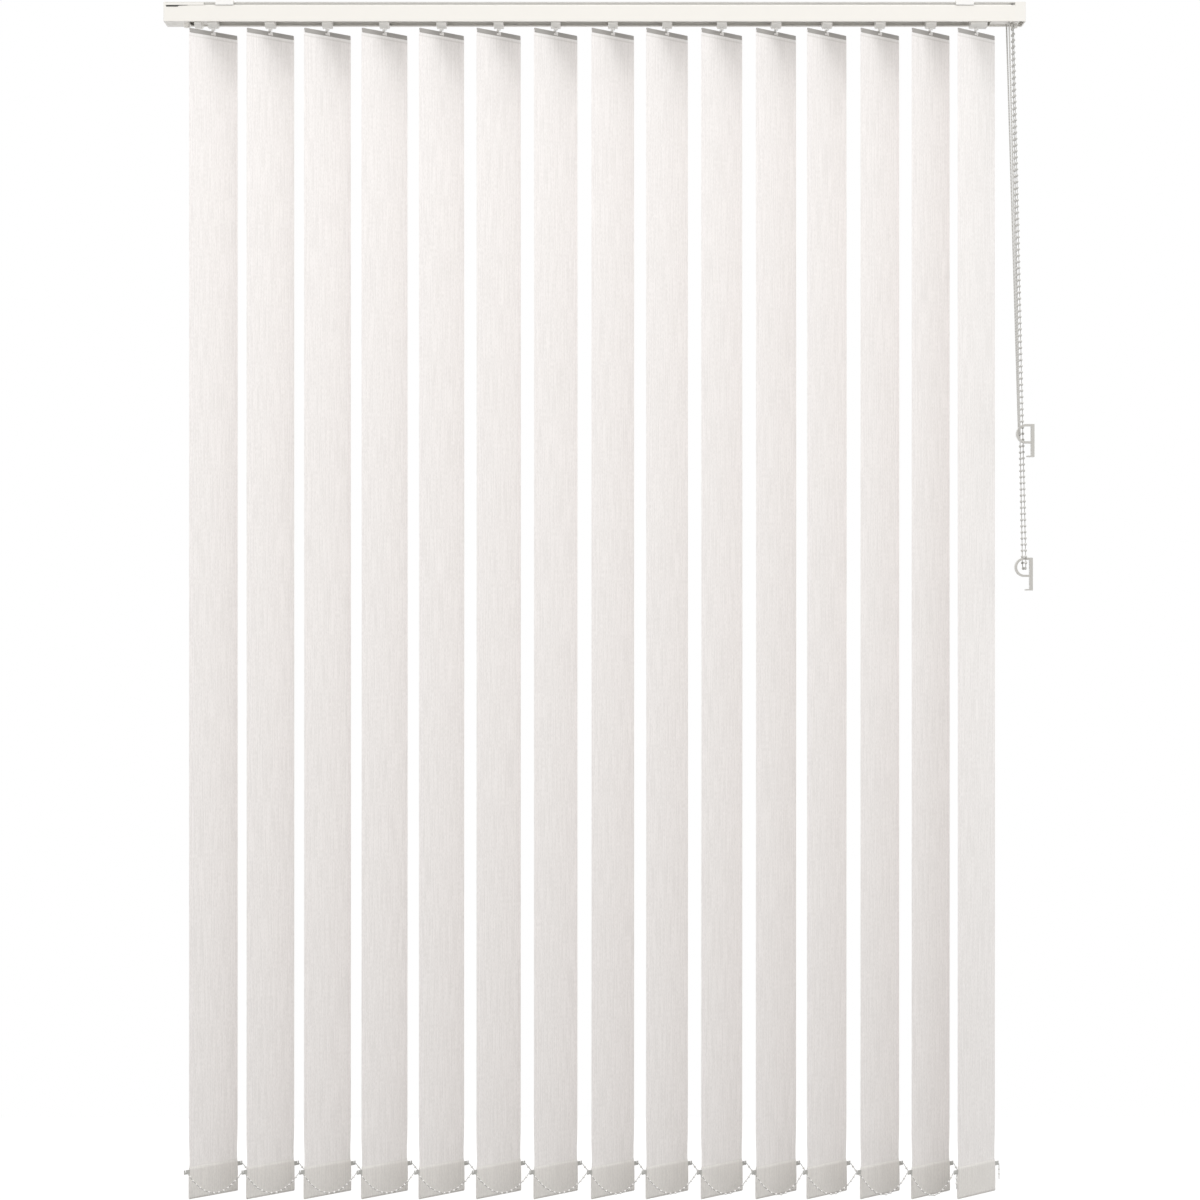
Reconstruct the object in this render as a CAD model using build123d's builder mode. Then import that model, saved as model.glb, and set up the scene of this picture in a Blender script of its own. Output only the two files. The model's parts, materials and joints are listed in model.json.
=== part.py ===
"""Vertical blind: aluminium headrail, fifteen rotating fabric slats, cord and bead-chain controls.

Millimetres, +Z up, +X along the rail, front towards -Y.
The origin lies on the ceiling plane, midway between the two bracket screws.
"""

from build123d import *
import os
from math import cos, radians, sin, sqrt

os.makedirs("parts", exist_ok=True)

# General fits
running_gap = 0.3
slip_gap = 0.1
overrun = 5.0
round_sides = 10
wheel_sides = 20

# Row of slats
rail_length = 1200.0
slat_count = 15
row_start_inset = 67.0
row_end_inset = 66.5
tilt_angle = 48.0
pitch_shares = (1.0, 1.0, 1.0, 1.0, 1.0, 1.0, 1.0, 0.95, 0.96, 0.95, 0.89, 0.93, 0.89, 0.80)

# Ceiling brackets
bracket_inset = 85.0
bracket_width = 25.0
bracket_plate = 1.5
screw_head_room = 2.5
bracket_hole_radius = 2.25
bracket_hook_reach = 2.0
bracket_tab_length = 2.7

# Headrail section
rail_depth = 46.0
rail_height = 27.0
rail_wall = 1.4
lip_setback = 1.0
groove_height = 3.2
groove_depth = 3.4
flange_width = 6.0

# Idle end cap
idle_plate = 3.0
idle_plug_length = 9.0
idle_tongue_length = 53.0
idle_floor_slot_length = 7.0
idle_floor_slot_width = 2.4
idle_floor_slot_inset = 6.0
idle_boss_radius = 4.2
idle_boss_drop = 5.0
pulley_inset = 30.0

# Control end housing
control_cap_length = 15.0
control_plug_length = 32.0
control_edge_radius = 3.0
wheel_room = 1.0
cap_pocket_length = 6.5
cap_pocket_wall = 1.6
cap_pocket_depth = 12.0
nose_radius = 4.1
nose_drop_control = 4.5
cord_to_wheel = 8.0
cord_slot_room = 1.0

# Runners
runner_length = 13.5
runner_side_gap = 1.0
runner_head_room = 5.6
runner_crown_width = 23.4
runner_shoulder_drop = 5.2
runner_neck_drop = 2.5
runner_nose_drop = 6.0
runner_nose_width = 12.0
runner_wheel_radius = 4.5
runner_wheel_width = 4.6
lead_tail_length = 25.0
lead_tail_block = 9.4
lead_tail_drop = 7.0
lead_lug_length = 7.0
fixed_runner_left = 9.0
fixed_runner_right = 14.0
fixed_shoe_height = 7.0

# Stems
gear_cover = 6.0
gear_height = 5.0
gear_tip_radius = 3.8
gear_root_radius = 3.0
gear_teeth = 9
stem_radius = 3.0
stem_drop = 2.8
hook_width = 4.4
hook_wall = 1.0
hook_floor = 1.6
hook_tip_height = 2.6

# Slats
slat_width = 89.0
slat_height = 1626.0
slat_drop = 11.0
fabric = 0.4
hanger_height = 6.0
hanger_thickness = 1.6
hanger_end_setback = 1.0
hanger_bridge = 1.8
eye_width = 9.0
eye_height = 3.2
fabric_entry = 3.4
notch_margin = 1.0
pocket_height = 45.0
pocket_flare = 3.0
pocket_fold = 0.8
weight_thickness = 1.2
weight_height = 40.0
weight_setback = 2.5
ear_reach = 9.0
ear_height = 6.0
ear_slot_width = 1.6
ear_slot_depth = 3.0
ear_slot_setback = 2.5

# Bottom chains
link_length = 102.0
link_thickness = 1.2
link_tail = 24.0
link_shares = (-1.0, -0.8, -0.5, -0.17, 0.17, 0.5, 0.8, 1.0)

# Tilt drive
rod_radius = 2.6
rod_lobes = 4
rod_offset = 7.5
rod_end_gap = 1.0
bead_pitch = 8.6
wheel_beads = 5
chain_radius = 1.0
bead_pocket_radius = 2.2
wheel_groove = 5.0
wheel_flange = 1.6
wheel_rim = 2.5
wheel_land_gap = 0.6
wheel_seam_gap = 0.5

# Traverse cord
cord_radius = 1.1
cord_offset = 14.0
cord_sink = 2.5
cord_bend_radius = 7.0
cord_lead_in = 8.0
tube_sides = 6
pulley_height = 5.0
pulley_rim = 1.5
pulley_groove_width = 3.0
pulley_pin_radius = 2.3

# Wall clips
clip_wall_gap = 13.0
clip_width = 10.0
clip_reach = 25.0
clip_height = 46.0
clip_bowl_height = 27.0
clip_strip = 2.2
clip_bowl_steps = 12
clip_plate = 3.0
clip_foot_reach = 6.0
clip_foot_height = 2.0
clip_hole_radius = 2.0
clip_hole_height = 9.5
cord_clip_drop = 560.0
cord_clip_offset = -9.0
chain_clip_drop = 746.0
loop_spread = 13.0
loop_bend_radius = 6.2
loop_sink = 16.0
cord_loop_inset = 20.5
chain_loop_inset = 11.5

# Heights derived from the ceiling plane downwards
rail_top = -bracket_plate - screw_head_room
rail_bottom = rail_top - rail_height
rail_roof = rail_top - rail_wall
groove_floor = rail_roof - groove_height
flange_top = rail_bottom + rail_wall
runner_top = rail_roof - runner_head_room
shoulder_top = runner_top - runner_shoulder_drop
neck_bottom = rail_bottom - runner_neck_drop
nose_bottom = rail_bottom - runner_nose_drop
gear_top = runner_top - gear_cover
gear_bottom = gear_top - gear_height
chamber_floor = gear_bottom - running_gap
rod_height = (gear_top + gear_bottom) / 2
cord_height = runner_top - cord_sink
stem_bottom = nose_bottom - stem_drop
slat_top = rail_bottom - slat_drop
slat_bottom = slat_top - slat_height
hanger_bottom = slat_top - hanger_height
eye_top = slat_top - hanger_bridge
eye_bottom = eye_top - eye_height
hook_seat = eye_top - slip_gap
hook_bottom = hook_seat - hook_floor
fabric_top = hanger_bottom + fabric_entry
pocket_top = slat_bottom + pocket_height
weight_bottom = slat_bottom + fabric + pocket_fold
weight_top = weight_bottom + weight_height
ear_seat = weight_top - ear_slot_depth

# Places along and across the rail
rail_left = -rail_length / 2 + idle_plate
rail_right = rail_length / 2 - control_cap_length
rail_front = rail_depth / 2
mouth = rail_front - flange_width
runner_side = mouth - runner_side_gap
row_start = -rail_length / 2 + row_start_inset
row_end = rail_length / 2 - row_end_inset
full_pitch = (row_end - row_start) / sum(pitch_shares)
slat_places = [row_start + full_pitch * sum(pitch_shares[:n]) for n in range(slat_count)]
pulley_place = -rail_length / 2 + pulley_inset
wheel_place = rail_right
cord_place = wheel_place - cord_to_wheel
wall_place = rail_length / 2 + clip_wall_gap
wheel_pitch_radius = wheel_beads * bead_pitch / radians(360)
wheel_outer_radius = wheel_pitch_radius + wheel_rim
rod_bore = rod_radius + running_gap
stem_bore = stem_radius + running_gap
chamber_half = gear_tip_radius + running_gap
pocket_half = weight_thickness / 2 + slip_gap + fabric
cavity_half = pocket_half - fabric
ear_tip = slat_width / 2 + ear_reach
ear_slot = ear_tip - ear_slot_setback

# Directions of a slat at rest: along its width, and through its thickness
slat_along = Vector(1, 0, 0).rotate(Axis.Z, tilt_angle)
slat_through = Vector(0, 1, 0).rotate(Axis.Z, tilt_angle)


def keep(builder: BuildPart, name: str) -> None:
    """Label a finished piece and write it out under its own name."""
    builder.part.label = name
    export_step(builder.part, f"parts/{name}.step")


def cross_plane(place: float) -> Plane:
    """Plane across the rail at a place along it, with local axes Y and Z."""
    return Plane.YZ.offset(place)


def block(
    place_from: float,
    place_to: float,
    y_from: float,
    y_to: float,
    z_from: float,
    z_to: float,
    mode: Mode = Mode.ADD,
) -> None:
    """Rectangular block between two places along the rail, added to or cut from the part."""
    with BuildSketch(cross_plane(place_from)) as outline:
        with Locations(((y_from + y_to) / 2, (z_from + z_to) / 2)):
            Rectangle(y_to - y_from, z_to - z_from)
    extrude(outline.sketch, amount=place_to - place_from, mode=mode)


def prism(place_from: float, place_to: float, points: list) -> None:
    """Outline across the rail carried between two places along it."""
    with BuildSketch(cross_plane(place_from)) as outline:
        with BuildLine():
            Polyline(*points, close=True)
        make_face()
    extrude(outline.sketch, amount=place_to - place_from)


def mirrored(points: list) -> list:
    """Closed outline made of a right-hand half and its mirror image."""
    return points + [(-y, z) for y, z in reversed(points)]


def tube(points: list, radii: list, radius: float, sides: int) -> float:
    """Plain many-sided tube along straight runs joined by tangent arcs; gives its length."""
    with BuildLine():
        route = FilletPolyline(*points, radius=radii)
    with BuildSketch(Plane(route @ 0, z_dir=route % 0)) as outline:
        RegularPolygon(radius, sides)
    sweep(outline.sketch, path=route)
    return route.length


# Headrail: thin aluminium channel, open below, with bracket grooves along both upper edges
with BuildPart() as headrail:
    rail_half = mirrored(
        [
            (rail_front - lip_setback, rail_top),
            (rail_front - lip_setback, rail_roof),
            (rail_front - groove_depth, rail_roof),
            (rail_front - groove_depth, groove_floor),
            (rail_front - lip_setback, groove_floor),
            (rail_front, groove_floor - lip_setback),
            (rail_front, rail_bottom),
            (mouth, rail_bottom),
            (mouth, flange_top),
            (rail_front - rail_wall, flange_top),
            (rail_front - rail_wall, groove_floor - rail_wall),
            (rail_front - groove_depth - rail_wall, groove_floor - rail_wall),
            (rail_front - groove_depth - rail_wall, rail_roof),
        ]
    )
    prism(rail_left, rail_right, rail_half)
keep(headrail, "headrail")

# Ceiling brackets: sprung steel strips whose turned-in hooks grip the rail's lips
tab_inside = rail_front - lip_setback + running_gap
tab_outside = tab_inside + bracket_plate
hook_top = rail_roof - running_gap
tab_bottom = hook_top - bracket_tab_length
bracket_half = mirrored(
    [
        (tab_outside, 0),
        (tab_outside, tab_bottom),
        (tab_inside, tab_bottom),
        (tab_inside, hook_top - bracket_plate),
        (tab_inside - bracket_hook_reach, hook_top - bracket_plate),
        (tab_inside - bracket_hook_reach, hook_top),
        (tab_inside, hook_top),
        (tab_inside, -bracket_plate),
    ]
)
for side, name in ((-1, "ceiling_bracket_left"), (1, "ceiling_bracket_right")):
    place = side * (rail_length / 2 - bracket_inset)
    with BuildPart() as bracket:
        prism(place - bracket_width / 2, place + bracket_width / 2, bracket_half)
        with Locations((place, 0, 0)):
            Hole(bracket_hole_radius, bracket_plate)
    keep(bracket, name)

# Idle end cap: end plate, plug, groove tongues, floor with its slot, and the pulley's boss and pin
inner_side = rail_front - rail_wall - slip_gap
plug_top = groove_floor - rail_wall - slip_gap
plug_bottom = flange_top + slip_gap
with BuildPart() as idle_end_cap:
    block(-rail_length / 2, rail_left, -rail_front, rail_front, rail_bottom, rail_top)
    fillet(idle_end_cap.edges().filter_by(Axis.Z).group_by(Axis.X)[0], idle_plate / 2)
    block(rail_left, rail_left + idle_plug_length, -inner_side, inner_side, plug_bottom, plug_top)
    tongue_inner = rail_front - groove_depth + slip_gap
    tongue_end = rail_left + idle_tongue_length
    tongue_bottom = groove_floor + slip_gap
    for y_from, y_to in ((-rail_front, -tongue_inner), (tongue_inner, rail_front)):
        block(rail_left, tongue_end, y_from, y_to, tongue_bottom, rail_roof - slip_gap)
    floor_half = mouth - slip_gap
    floor_end = pulley_place + idle_boss_radius
    block(rail_left, floor_end, -floor_half, floor_half, rail_bottom, plug_bottom)
    slot_from = rail_left + idle_floor_slot_inset
    slot_half = idle_floor_slot_width / 2
    block(
        slot_from,
        slot_from + idle_floor_slot_length,
        -slot_half,
        slot_half,
        rail_bottom - overrun,
        plug_bottom + overrun,
        mode=Mode.SUBTRACT,
    )
    with BuildSketch(Plane.XY.offset(rail_bottom - idle_boss_drop)):
        with Locations((pulley_place, 0)):
            RegularPolygon(idle_boss_radius, wheel_sides)
    extrude(amount=cord_height - pulley_height / 2 - slip_gap - rail_bottom + idle_boss_drop)
    with BuildSketch(Plane.XY.offset(rail_bottom)):
        with Locations((pulley_place, 0)):
            RegularPolygon(pulley_pin_radius, round_sides)
    extrude(amount=cord_height + pulley_height / 2 - rail_bottom)
    with BuildSketch(cross_plane(rail_left)):
        with Locations((rod_offset, rod_height)):
            RegularPolygon(rod_bore, round_sides, major_radius=False)
    extrude(amount=idle_plug_length, mode=Mode.SUBTRACT)
keep(idle_end_cap, "idle_end_cap")

# Idle pulley: turns the traverse cord back along the rail
with BuildPart() as idle_pulley:
    pulley_low = cord_height - pulley_height / 2
    rim_height = (pulley_height - pulley_groove_width) / 2
    groove_root = cord_offset - cord_radius - running_gap
    for disc_from, disc_height, disc_radius in (
        (pulley_low, rim_height, cord_offset + pulley_rim),
        (pulley_low + rim_height, pulley_groove_width, groove_root),
        (pulley_low + rim_height + pulley_groove_width, rim_height, cord_offset + pulley_rim),
    ):
        with BuildSketch(Plane.XY.offset(disc_from)):
            with Locations((pulley_place, 0)):
                RegularPolygon(disc_radius, wheel_sides)
        extrude(amount=disc_height)
    with BuildSketch(Plane.XY.offset(pulley_low)):
        with Locations((pulley_place, 0)):
            RegularPolygon(pulley_pin_radius + running_gap, round_sides, major_radius=False)
    extrude(amount=pulley_height, mode=Mode.SUBTRACT)
keep(idle_pulley, "idle_pulley")

# Control end housing: capped block with the chain wheel's well, guided cord slots and the chain nose
cord_slot_half = cord_radius + cord_slot_room
guide_place = cord_place - cord_bend_radius
guide_height = cord_height - cord_bend_radius
with BuildPart() as control_end_housing:
    block(rail_right, rail_length / 2, -rail_front, rail_front, rail_bottom, rail_top)
    fillet(
        control_end_housing.edges().filter_by(Axis.Z).group_by(Axis.X)[-1],
        control_edge_radius,
    )
    plug_start = rail_right - control_plug_length
    block(plug_start, rail_right, -inner_side, inner_side, plug_bottom, plug_top)
    well_half = wheel_groove / 2 + wheel_flange + wheel_room
    well_reach = wheel_outer_radius + wheel_room
    block(
        wheel_place - well_half,
        wheel_place + well_half,
        rod_offset - well_reach,
        rod_offset + well_reach,
        rail_bottom - overrun,
        rod_height + well_reach,
        mode=Mode.SUBTRACT,
    )
    pocket_end = rail_length / 2 - cap_pocket_wall
    block(
        pocket_end - cap_pocket_length,
        pocket_end,
        -rail_front + control_edge_radius,
        rail_front - control_edge_radius,
        rail_bottom - overrun,
        rail_bottom + cap_pocket_depth,
        mode=Mode.SUBTRACT,
    )
    for side in (-cord_offset, cord_offset):
        block(
            plug_start,
            cord_place + cord_slot_half,
            side - cord_slot_half,
            side + cord_slot_half,
            plug_bottom - overrun,
            plug_top + overrun,
            mode=Mode.SUBTRACT,
        )
        with BuildSketch(Plane.XZ.offset(-side)):
            with Locations((guide_place, guide_height)):
                RegularPolygon(cord_bend_radius - cord_radius - running_gap, wheel_sides)
        extrude(amount=cord_slot_half + slip_gap, both=True)
    nose_low = rail_bottom - nose_drop_control
    nose_outline = [
        (rod_offset + nose_radius, flange_top),
        (rod_offset + nose_radius, nose_low + nose_radius / 2),
        (rod_offset + nose_radius / 2, nose_low),
        (rod_offset - nose_radius / 2, nose_low),
        (rod_offset - nose_radius, nose_low + nose_radius / 2),
        (rod_offset - nose_radius, flange_top),
    ]
    prism(wheel_place - wheel_groove / 2, wheel_place + well_half + rail_wall, nose_outline)
    with BuildSketch(cross_plane(plug_start)):
        with Locations((rod_offset, rod_height)):
            RegularPolygon(rod_bore, round_sides, major_radius=False)
    extrude(amount=control_plug_length + well_half + rail_wall, mode=Mode.SUBTRACT)
keep(control_end_housing, "control_end_housing")

# Tilt rod: lobed rod through every runner, from the idle plug to the chain wheel's far bearing
rod_left = rail_left + rod_end_gap
rod_right = wheel_place + well_half + rail_wall - rod_end_gap
with BuildPart() as tilt_rod:
    with BuildSketch(cross_plane(rod_left)):
        with Locations((rod_offset, rod_height)):
            RegularPolygon(rod_radius, rod_lobes)
            RegularPolygon(rod_radius, rod_lobes, rotation=180 / rod_lobes)
    extrude(amount=rod_right - rod_left)
keep(tilt_rod, "tilt_rod")

# Chain wheel: two flanges with a sprocket between them, scalloped for the beads
with BuildPart() as chain_wheel:
    land_radius = wheel_pitch_radius - chain_radius - wheel_land_gap
    for flange_from in (wheel_place - wheel_groove / 2 - wheel_flange, wheel_place + wheel_groove / 2):
        with BuildSketch(cross_plane(flange_from)):
            with Locations((rod_offset, rod_height)):
                RegularPolygon(wheel_outer_radius, wheel_sides)
        extrude(amount=wheel_flange)
    with BuildSketch(cross_plane(wheel_place - wheel_groove / 2)):
        with Locations((rod_offset, rod_height)):
            RegularPolygon(land_radius, wheel_sides)
            with PolarLocations(wheel_pitch_radius, wheel_beads):
                RegularPolygon(bead_pocket_radius, round_sides, mode=Mode.SUBTRACT)
    extrude(amount=wheel_groove)
    with BuildSketch(cross_plane(wheel_place - wheel_groove / 2 - wheel_flange)):
        with Locations((rod_offset, rod_height)):
            Circle(rod_radius + slip_gap)
    extrude(amount=wheel_groove + 2 * wheel_flange, mode=Mode.SUBTRACT)
keep(chain_wheel, "chain_wheel")

# Runners: moulded carriages on wheels, each with a gear chamber, a stem bore and a rod bore
crown_half = runner_crown_width / 2
nose_half = runner_nose_width / 2
runner_outline = mirrored(
    [
        (crown_half, runner_top),
        (crown_half, shoulder_top),
        (runner_side, shoulder_top),
        (runner_side, neck_bottom),
        (nose_half, nose_bottom),
    ]
)
wheel_axle_height = flange_top + running_gap + runner_wheel_radius


def runner_bores(place: float, bore_from: float, bore_to: float) -> None:
    """Gear chamber and stem bore at a slat's axis, and the rod bore right through."""
    with BuildSketch(Plane.XY.offset(chamber_floor)) as chamber:
        with Locations((place, 0)):
            Rectangle(2 * chamber_half, 2 * chamber_half)
    extrude(chamber.sketch, amount=runner_top - chamber_floor, mode=Mode.SUBTRACT)
    with BuildSketch(Plane.XY.offset(nose_bottom)) as shaft:
        with Locations((place, 0)):
            RegularPolygon(stem_bore, round_sides, major_radius=False)
    extrude(shaft.sketch, amount=chamber_floor - nose_bottom, mode=Mode.SUBTRACT)
    with BuildSketch(cross_plane(bore_from)) as passage:
        with Locations((rod_offset, rod_height)):
            RegularPolygon(rod_bore, round_sides, major_radius=False)
    extrude(passage.sketch, amount=bore_to - bore_from, mode=Mode.SUBTRACT)


def runner_wheels(place: float) -> None:
    """Pair of wheels that roll on the rail's two flanges."""
    for outward in (-1, 1):
        with BuildSketch(Plane.XZ.offset(outward * runner_side)) as tread:
            with Locations((place, wheel_axle_height)):
                RegularPolygon(runner_wheel_radius, round_sides)
        extrude(tread.sketch, amount=outward * runner_wheel_width)


for number, place in enumerate(slat_places, start=1):
    runner_left = place - runner_length / 2
    runner_right = place + runner_length / 2
    with BuildPart() as runner:
        if number == slat_count:
            # the last carriage is wide and stays put, on shoes in place of wheels
            runner_left = place - fixed_runner_left
            runner_right = place + fixed_runner_right
            shoe_top = flange_top + fixed_shoe_height
            block(runner_left, runner_right, -inner_side, inner_side, flange_top, shoe_top)
        else:
            runner_wheels(place)
        prism(runner_left, runner_right, runner_outline)
        if number == 1:
            # the leading carriage has a tail block, a bridge and a lug that grips the cord
            tail_from = place - lead_tail_length
            tail_top = shoulder_top - lead_tail_drop
            bridge_bottom = flange_top + running_gap
            block(tail_from, runner_left, -runner_side, runner_side, bridge_bottom, tail_top)
            tail_outline = mirrored(
                [(runner_side, tail_top), (runner_side, neck_bottom), (nose_half, nose_bottom)]
            )
            prism(tail_from, tail_from + lead_tail_block, tail_outline)
            runner_wheels(tail_from + lead_tail_block / 2)
            lug_half = lead_lug_length / 2
            grip_half = cord_radius + running_gap
            block(place - lug_half, place + lug_half, -runner_side, -crown_half, shoulder_top, runner_top)
            block(
                place - lug_half,
                place + lug_half,
                -cord_offset - grip_half,
                -cord_offset + grip_half,
                cord_height - grip_half,
                runner_top,
                mode=Mode.SUBTRACT,
            )
            runner_left = tail_from
        runner_bores(place, runner_left, runner_right)
    keep(runner, f"runner_{number:02d}")

# Stems: worm gear, shaft and flat hook, the hook's plane across the slat
tooth_step = 360 / gear_teeth
for number, place in enumerate(slat_places, start=1):
    section = Plane(origin=(place, 0, 0), x_dir=slat_through, z_dir=slat_along)
    gear_points = []
    for tooth in range(gear_teeth):
        tip = radians(tooth * tooth_step)
        root = radians((tooth + 1 / 2) * tooth_step)
        gear_points.append((place + gear_tip_radius * cos(tip), gear_tip_radius * sin(tip)))
        gear_points.append((place + gear_root_radius * cos(root), gear_root_radius * sin(root)))
    with BuildPart() as stem:
        with BuildSketch(Plane.XY.offset(gear_bottom)):
            with BuildLine():
                Polyline(*gear_points, close=True)
            make_face()
        extrude(amount=gear_height)
        with BuildSketch(Plane.XY.offset(stem_bottom)):
            with Locations((place, 0)):
                RegularPolygon(stem_radius, round_sides)
        extrude(amount=gear_bottom - stem_bottom)
        throat = hanger_thickness / 2 + running_gap + slip_gap
        hook_back = throat + hook_wall
        with BuildSketch(section.offset(-hook_width / 2)):
            with BuildLine():
                Polyline(
                    (hook_back, stem_bottom),
                    (hook_back, hook_bottom),
                    (-hook_back, hook_bottom),
                    (-hook_back, hook_seat + hook_tip_height - hook_floor),
                    (-throat, hook_seat + hook_tip_height - hook_floor),
                    (-throat, hook_seat),
                    (throat, hook_seat),
                    (throat, stem_bottom),
                    close=True,
                )
            make_face()
        extrude(amount=hook_width)
    keep(stem, f"stem_{number:02d}")

# Slats: welded fabric with a hem pocket, its moulded hanger above and its chain weight inside the pocket
hanger_half = slat_width / 2 - hanger_end_setback
weight_half = slat_width / 2 - weight_setback
slot_sides = (ear_slot - ear_slot_width / 2, ear_slot + ear_slot_width / 2)
weight_outline = mirrored(
    [
        (weight_half, weight_bottom),
        (weight_half, weight_top - ear_height),
        (ear_tip, weight_top - ear_height),
        (ear_tip, weight_top),
        (slot_sides[1], weight_top),
        (slot_sides[1], ear_seat),
        (slot_sides[0], ear_seat),
        (slot_sides[0], weight_top),
    ]
)
fabric_outline = [
    (-fabric / 2, fabric_top),
    (fabric / 2, fabric_top),
    (fabric / 2, pocket_top),
    (pocket_half, pocket_top - pocket_flare),
    (pocket_half, slat_bottom + pocket_fold),
    (cavity_half / 2, slat_bottom),
    (-cavity_half / 2, slat_bottom),
    (-pocket_half, slat_bottom + pocket_fold),
    (-pocket_half, pocket_top - pocket_flare),
    (-fabric / 2, pocket_top),
]
cavity_outline = [
    (0, pocket_top - pocket_flare / 2),
    (cavity_half, pocket_top - pocket_flare),
    (cavity_half, slat_bottom + fabric + pocket_fold / 2),
    (-cavity_half, slat_bottom + fabric + pocket_fold / 2),
    (-cavity_half, pocket_top - pocket_flare),
]
for number, place in enumerate(slat_places, start=1):
    section = Plane(origin=(place, 0, 0), x_dir=slat_through, z_dir=slat_along)
    face = Plane(origin=(place, 0, 0), x_dir=slat_along, z_dir=slat_along.cross(Vector(0, 0, 1)))
    with BuildPart() as slat:
        with BuildSketch(section.offset(-slat_width / 2)):
            with BuildLine():
                Polyline(*fabric_outline, close=True)
            make_face()
            with BuildLine():
                Polyline(*cavity_outline, close=True)
            make_face(mode=Mode.SUBTRACT)
        extrude(amount=slat_width)
        notch_bottom = hanger_bottom - notch_margin
        with BuildSketch(face):
            with Locations((0, (fabric_top + notch_bottom) / 2)):
                Rectangle(eye_width + 2 * notch_margin, fabric_top - notch_bottom)
        extrude(amount=fabric, both=True, mode=Mode.SUBTRACT)
        slot_half = fabric / 2 + slip_gap
        with BuildSketch(section.offset(-hanger_half)):
            with BuildLine():
                Polyline(
                    (-hanger_thickness / 2, slat_top),
                    (hanger_thickness / 2, slat_top),
                    (hanger_thickness / 2, hanger_bottom),
                    (slot_half, hanger_bottom),
                    (slot_half, fabric_top + slip_gap),
                    (-slot_half, fabric_top + slip_gap),
                    (-slot_half, hanger_bottom),
                    (-hanger_thickness / 2, hanger_bottom),
                    close=True,
                )
            make_face()
        extrude(amount=2 * hanger_half)
        with BuildSketch(face):
            with Locations((0, (eye_top + eye_bottom) / 2)):
                Rectangle(eye_width, eye_height)
        extrude(amount=hanger_thickness, both=True, mode=Mode.SUBTRACT)
        with BuildSketch(face.offset(-weight_thickness / 2)):
            with BuildLine():
                Polyline(*weight_outline, close=True)
            make_face()
        extrude(amount=weight_thickness)
    keep(slat, f"slat_{number:02d}")

# Bottom chains: a hanging link between neighbouring ears, front and back, and a tail at the last slat
ear_along = ear_slot * cos(radians(tilt_angle))
ear_across = ear_slot * sin(radians(tilt_angle))
ear_slant = link_thickness / 2 * cos(radians(tilt_angle))
ear_clear = (weight_thickness / 2 + ear_slant) / sin(radians(tilt_angle))
link_inset = ear_clear + link_thickness / 2 + running_gap
for side, name in ((-1, "bottom_chain_front"), (1, "bottom_chain_back")):
    with BuildPart() as bottom_chain:
        for left, right in zip(slat_places, slat_places[1:]):
            middle = (left + right) / 2 + side * ear_along
            span = right - left - 2 * link_inset
            sag = sqrt(3 * span * (link_length - span) / 8)
            upper = []
            lower = []
            for share in link_shares:
                lift = sag * (1 - share**2)
                upper.append((middle + share * span / 2, ear_seat - lift))
                lower.append((middle + share * span / 2, ear_seat - lift - link_thickness))
            with BuildSketch(Plane.XZ.offset(-side * ear_across)):
                with BuildLine():
                    Polyline(*upper, *reversed(lower), close=True)
                make_face()
            extrude(amount=link_thickness / 2, both=True)
        tail_place = slat_places[-1] + side * ear_along + link_inset + link_thickness / 2
        with BuildSketch(Plane.XY.offset(ear_seat - link_tail)):
            with Locations((tail_place, side * ear_across)):
                Rectangle(link_thickness, link_thickness)
        extrude(amount=link_tail)
    keep(bottom_chain, name)
print(f"link sag {sag:.1f} mm at the narrowest span")

# Wall clips: bent plastic strips in the outline of a P, screwed to the side wall, that hold the two loops
for name, drop, offset in (
    ("cord_clip", cord_clip_drop, cord_clip_offset),
    ("chain_clip", chain_clip_drop, rod_offset),
):
    clip_top = rail_bottom - drop
    bowl_radius = clip_bowl_height / 2
    with BuildPart() as clip:
        with BuildSketch(Plane.XZ.offset(-offset)):
            bowl_place = wall_place - clip_reach + bowl_radius
            bowl_middle = clip_top - bowl_radius
            for radius, end, mode in (
                (bowl_radius, wall_place, Mode.ADD),
                (bowl_radius - clip_strip, wall_place - clip_plate, Mode.SUBTRACT),
            ):
                turns = [radians(180 * step / clip_bowl_steps) for step in range(clip_bowl_steps + 1)]
                bowl = [(bowl_place - radius * sin(a), bowl_middle + radius * cos(a)) for a in turns]
                with BuildLine():
                    Polyline((end, bowl_middle + radius), *bowl, (end, bowl_middle - radius), close=True)
                make_face(mode=mode)
            with Locations((wall_place - clip_plate / 2, clip_top - clip_height / 2)):
                Rectangle(clip_plate, clip_height)
            foot_reach = clip_plate + clip_foot_reach
            with Locations((wall_place - foot_reach / 2, clip_top - clip_height + clip_foot_height / 2)):
                Rectangle(foot_reach, clip_foot_height)
        extrude(amount=clip_width / 2, both=True)
        with BuildSketch(cross_plane(wall_place)):
            with Locations((offset, clip_top - clip_height + clip_hole_height)):
                Circle(clip_hole_radius)
        extrude(amount=-clip_plate, mode=Mode.SUBTRACT)
    keep(clip, name)

# Traverse cord inside the rail: along the front, round the idle pulley and back
with BuildPart() as traverse_cord_run:
    with BuildLine() as run_route:
        run_front = Line(
            (cord_place - cord_lead_in, -cord_offset, cord_height),
            (pulley_place, -cord_offset, cord_height),
        )
        run_turn = ThreePointArc(
            run_front @ 1,
            (pulley_place - cord_offset, 0, cord_height),
            (pulley_place, cord_offset, cord_height),
        )
        Line(run_turn @ 1, (cord_place - cord_lead_in, cord_offset, cord_height))
    with BuildSketch(Plane(run_front @ 0, z_dir=run_front % 0)):
        RegularPolygon(cord_radius, tube_sides)
    sweep(path=run_route.wires()[0])
keep(traverse_cord_run, "traverse_cord_run")

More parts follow.
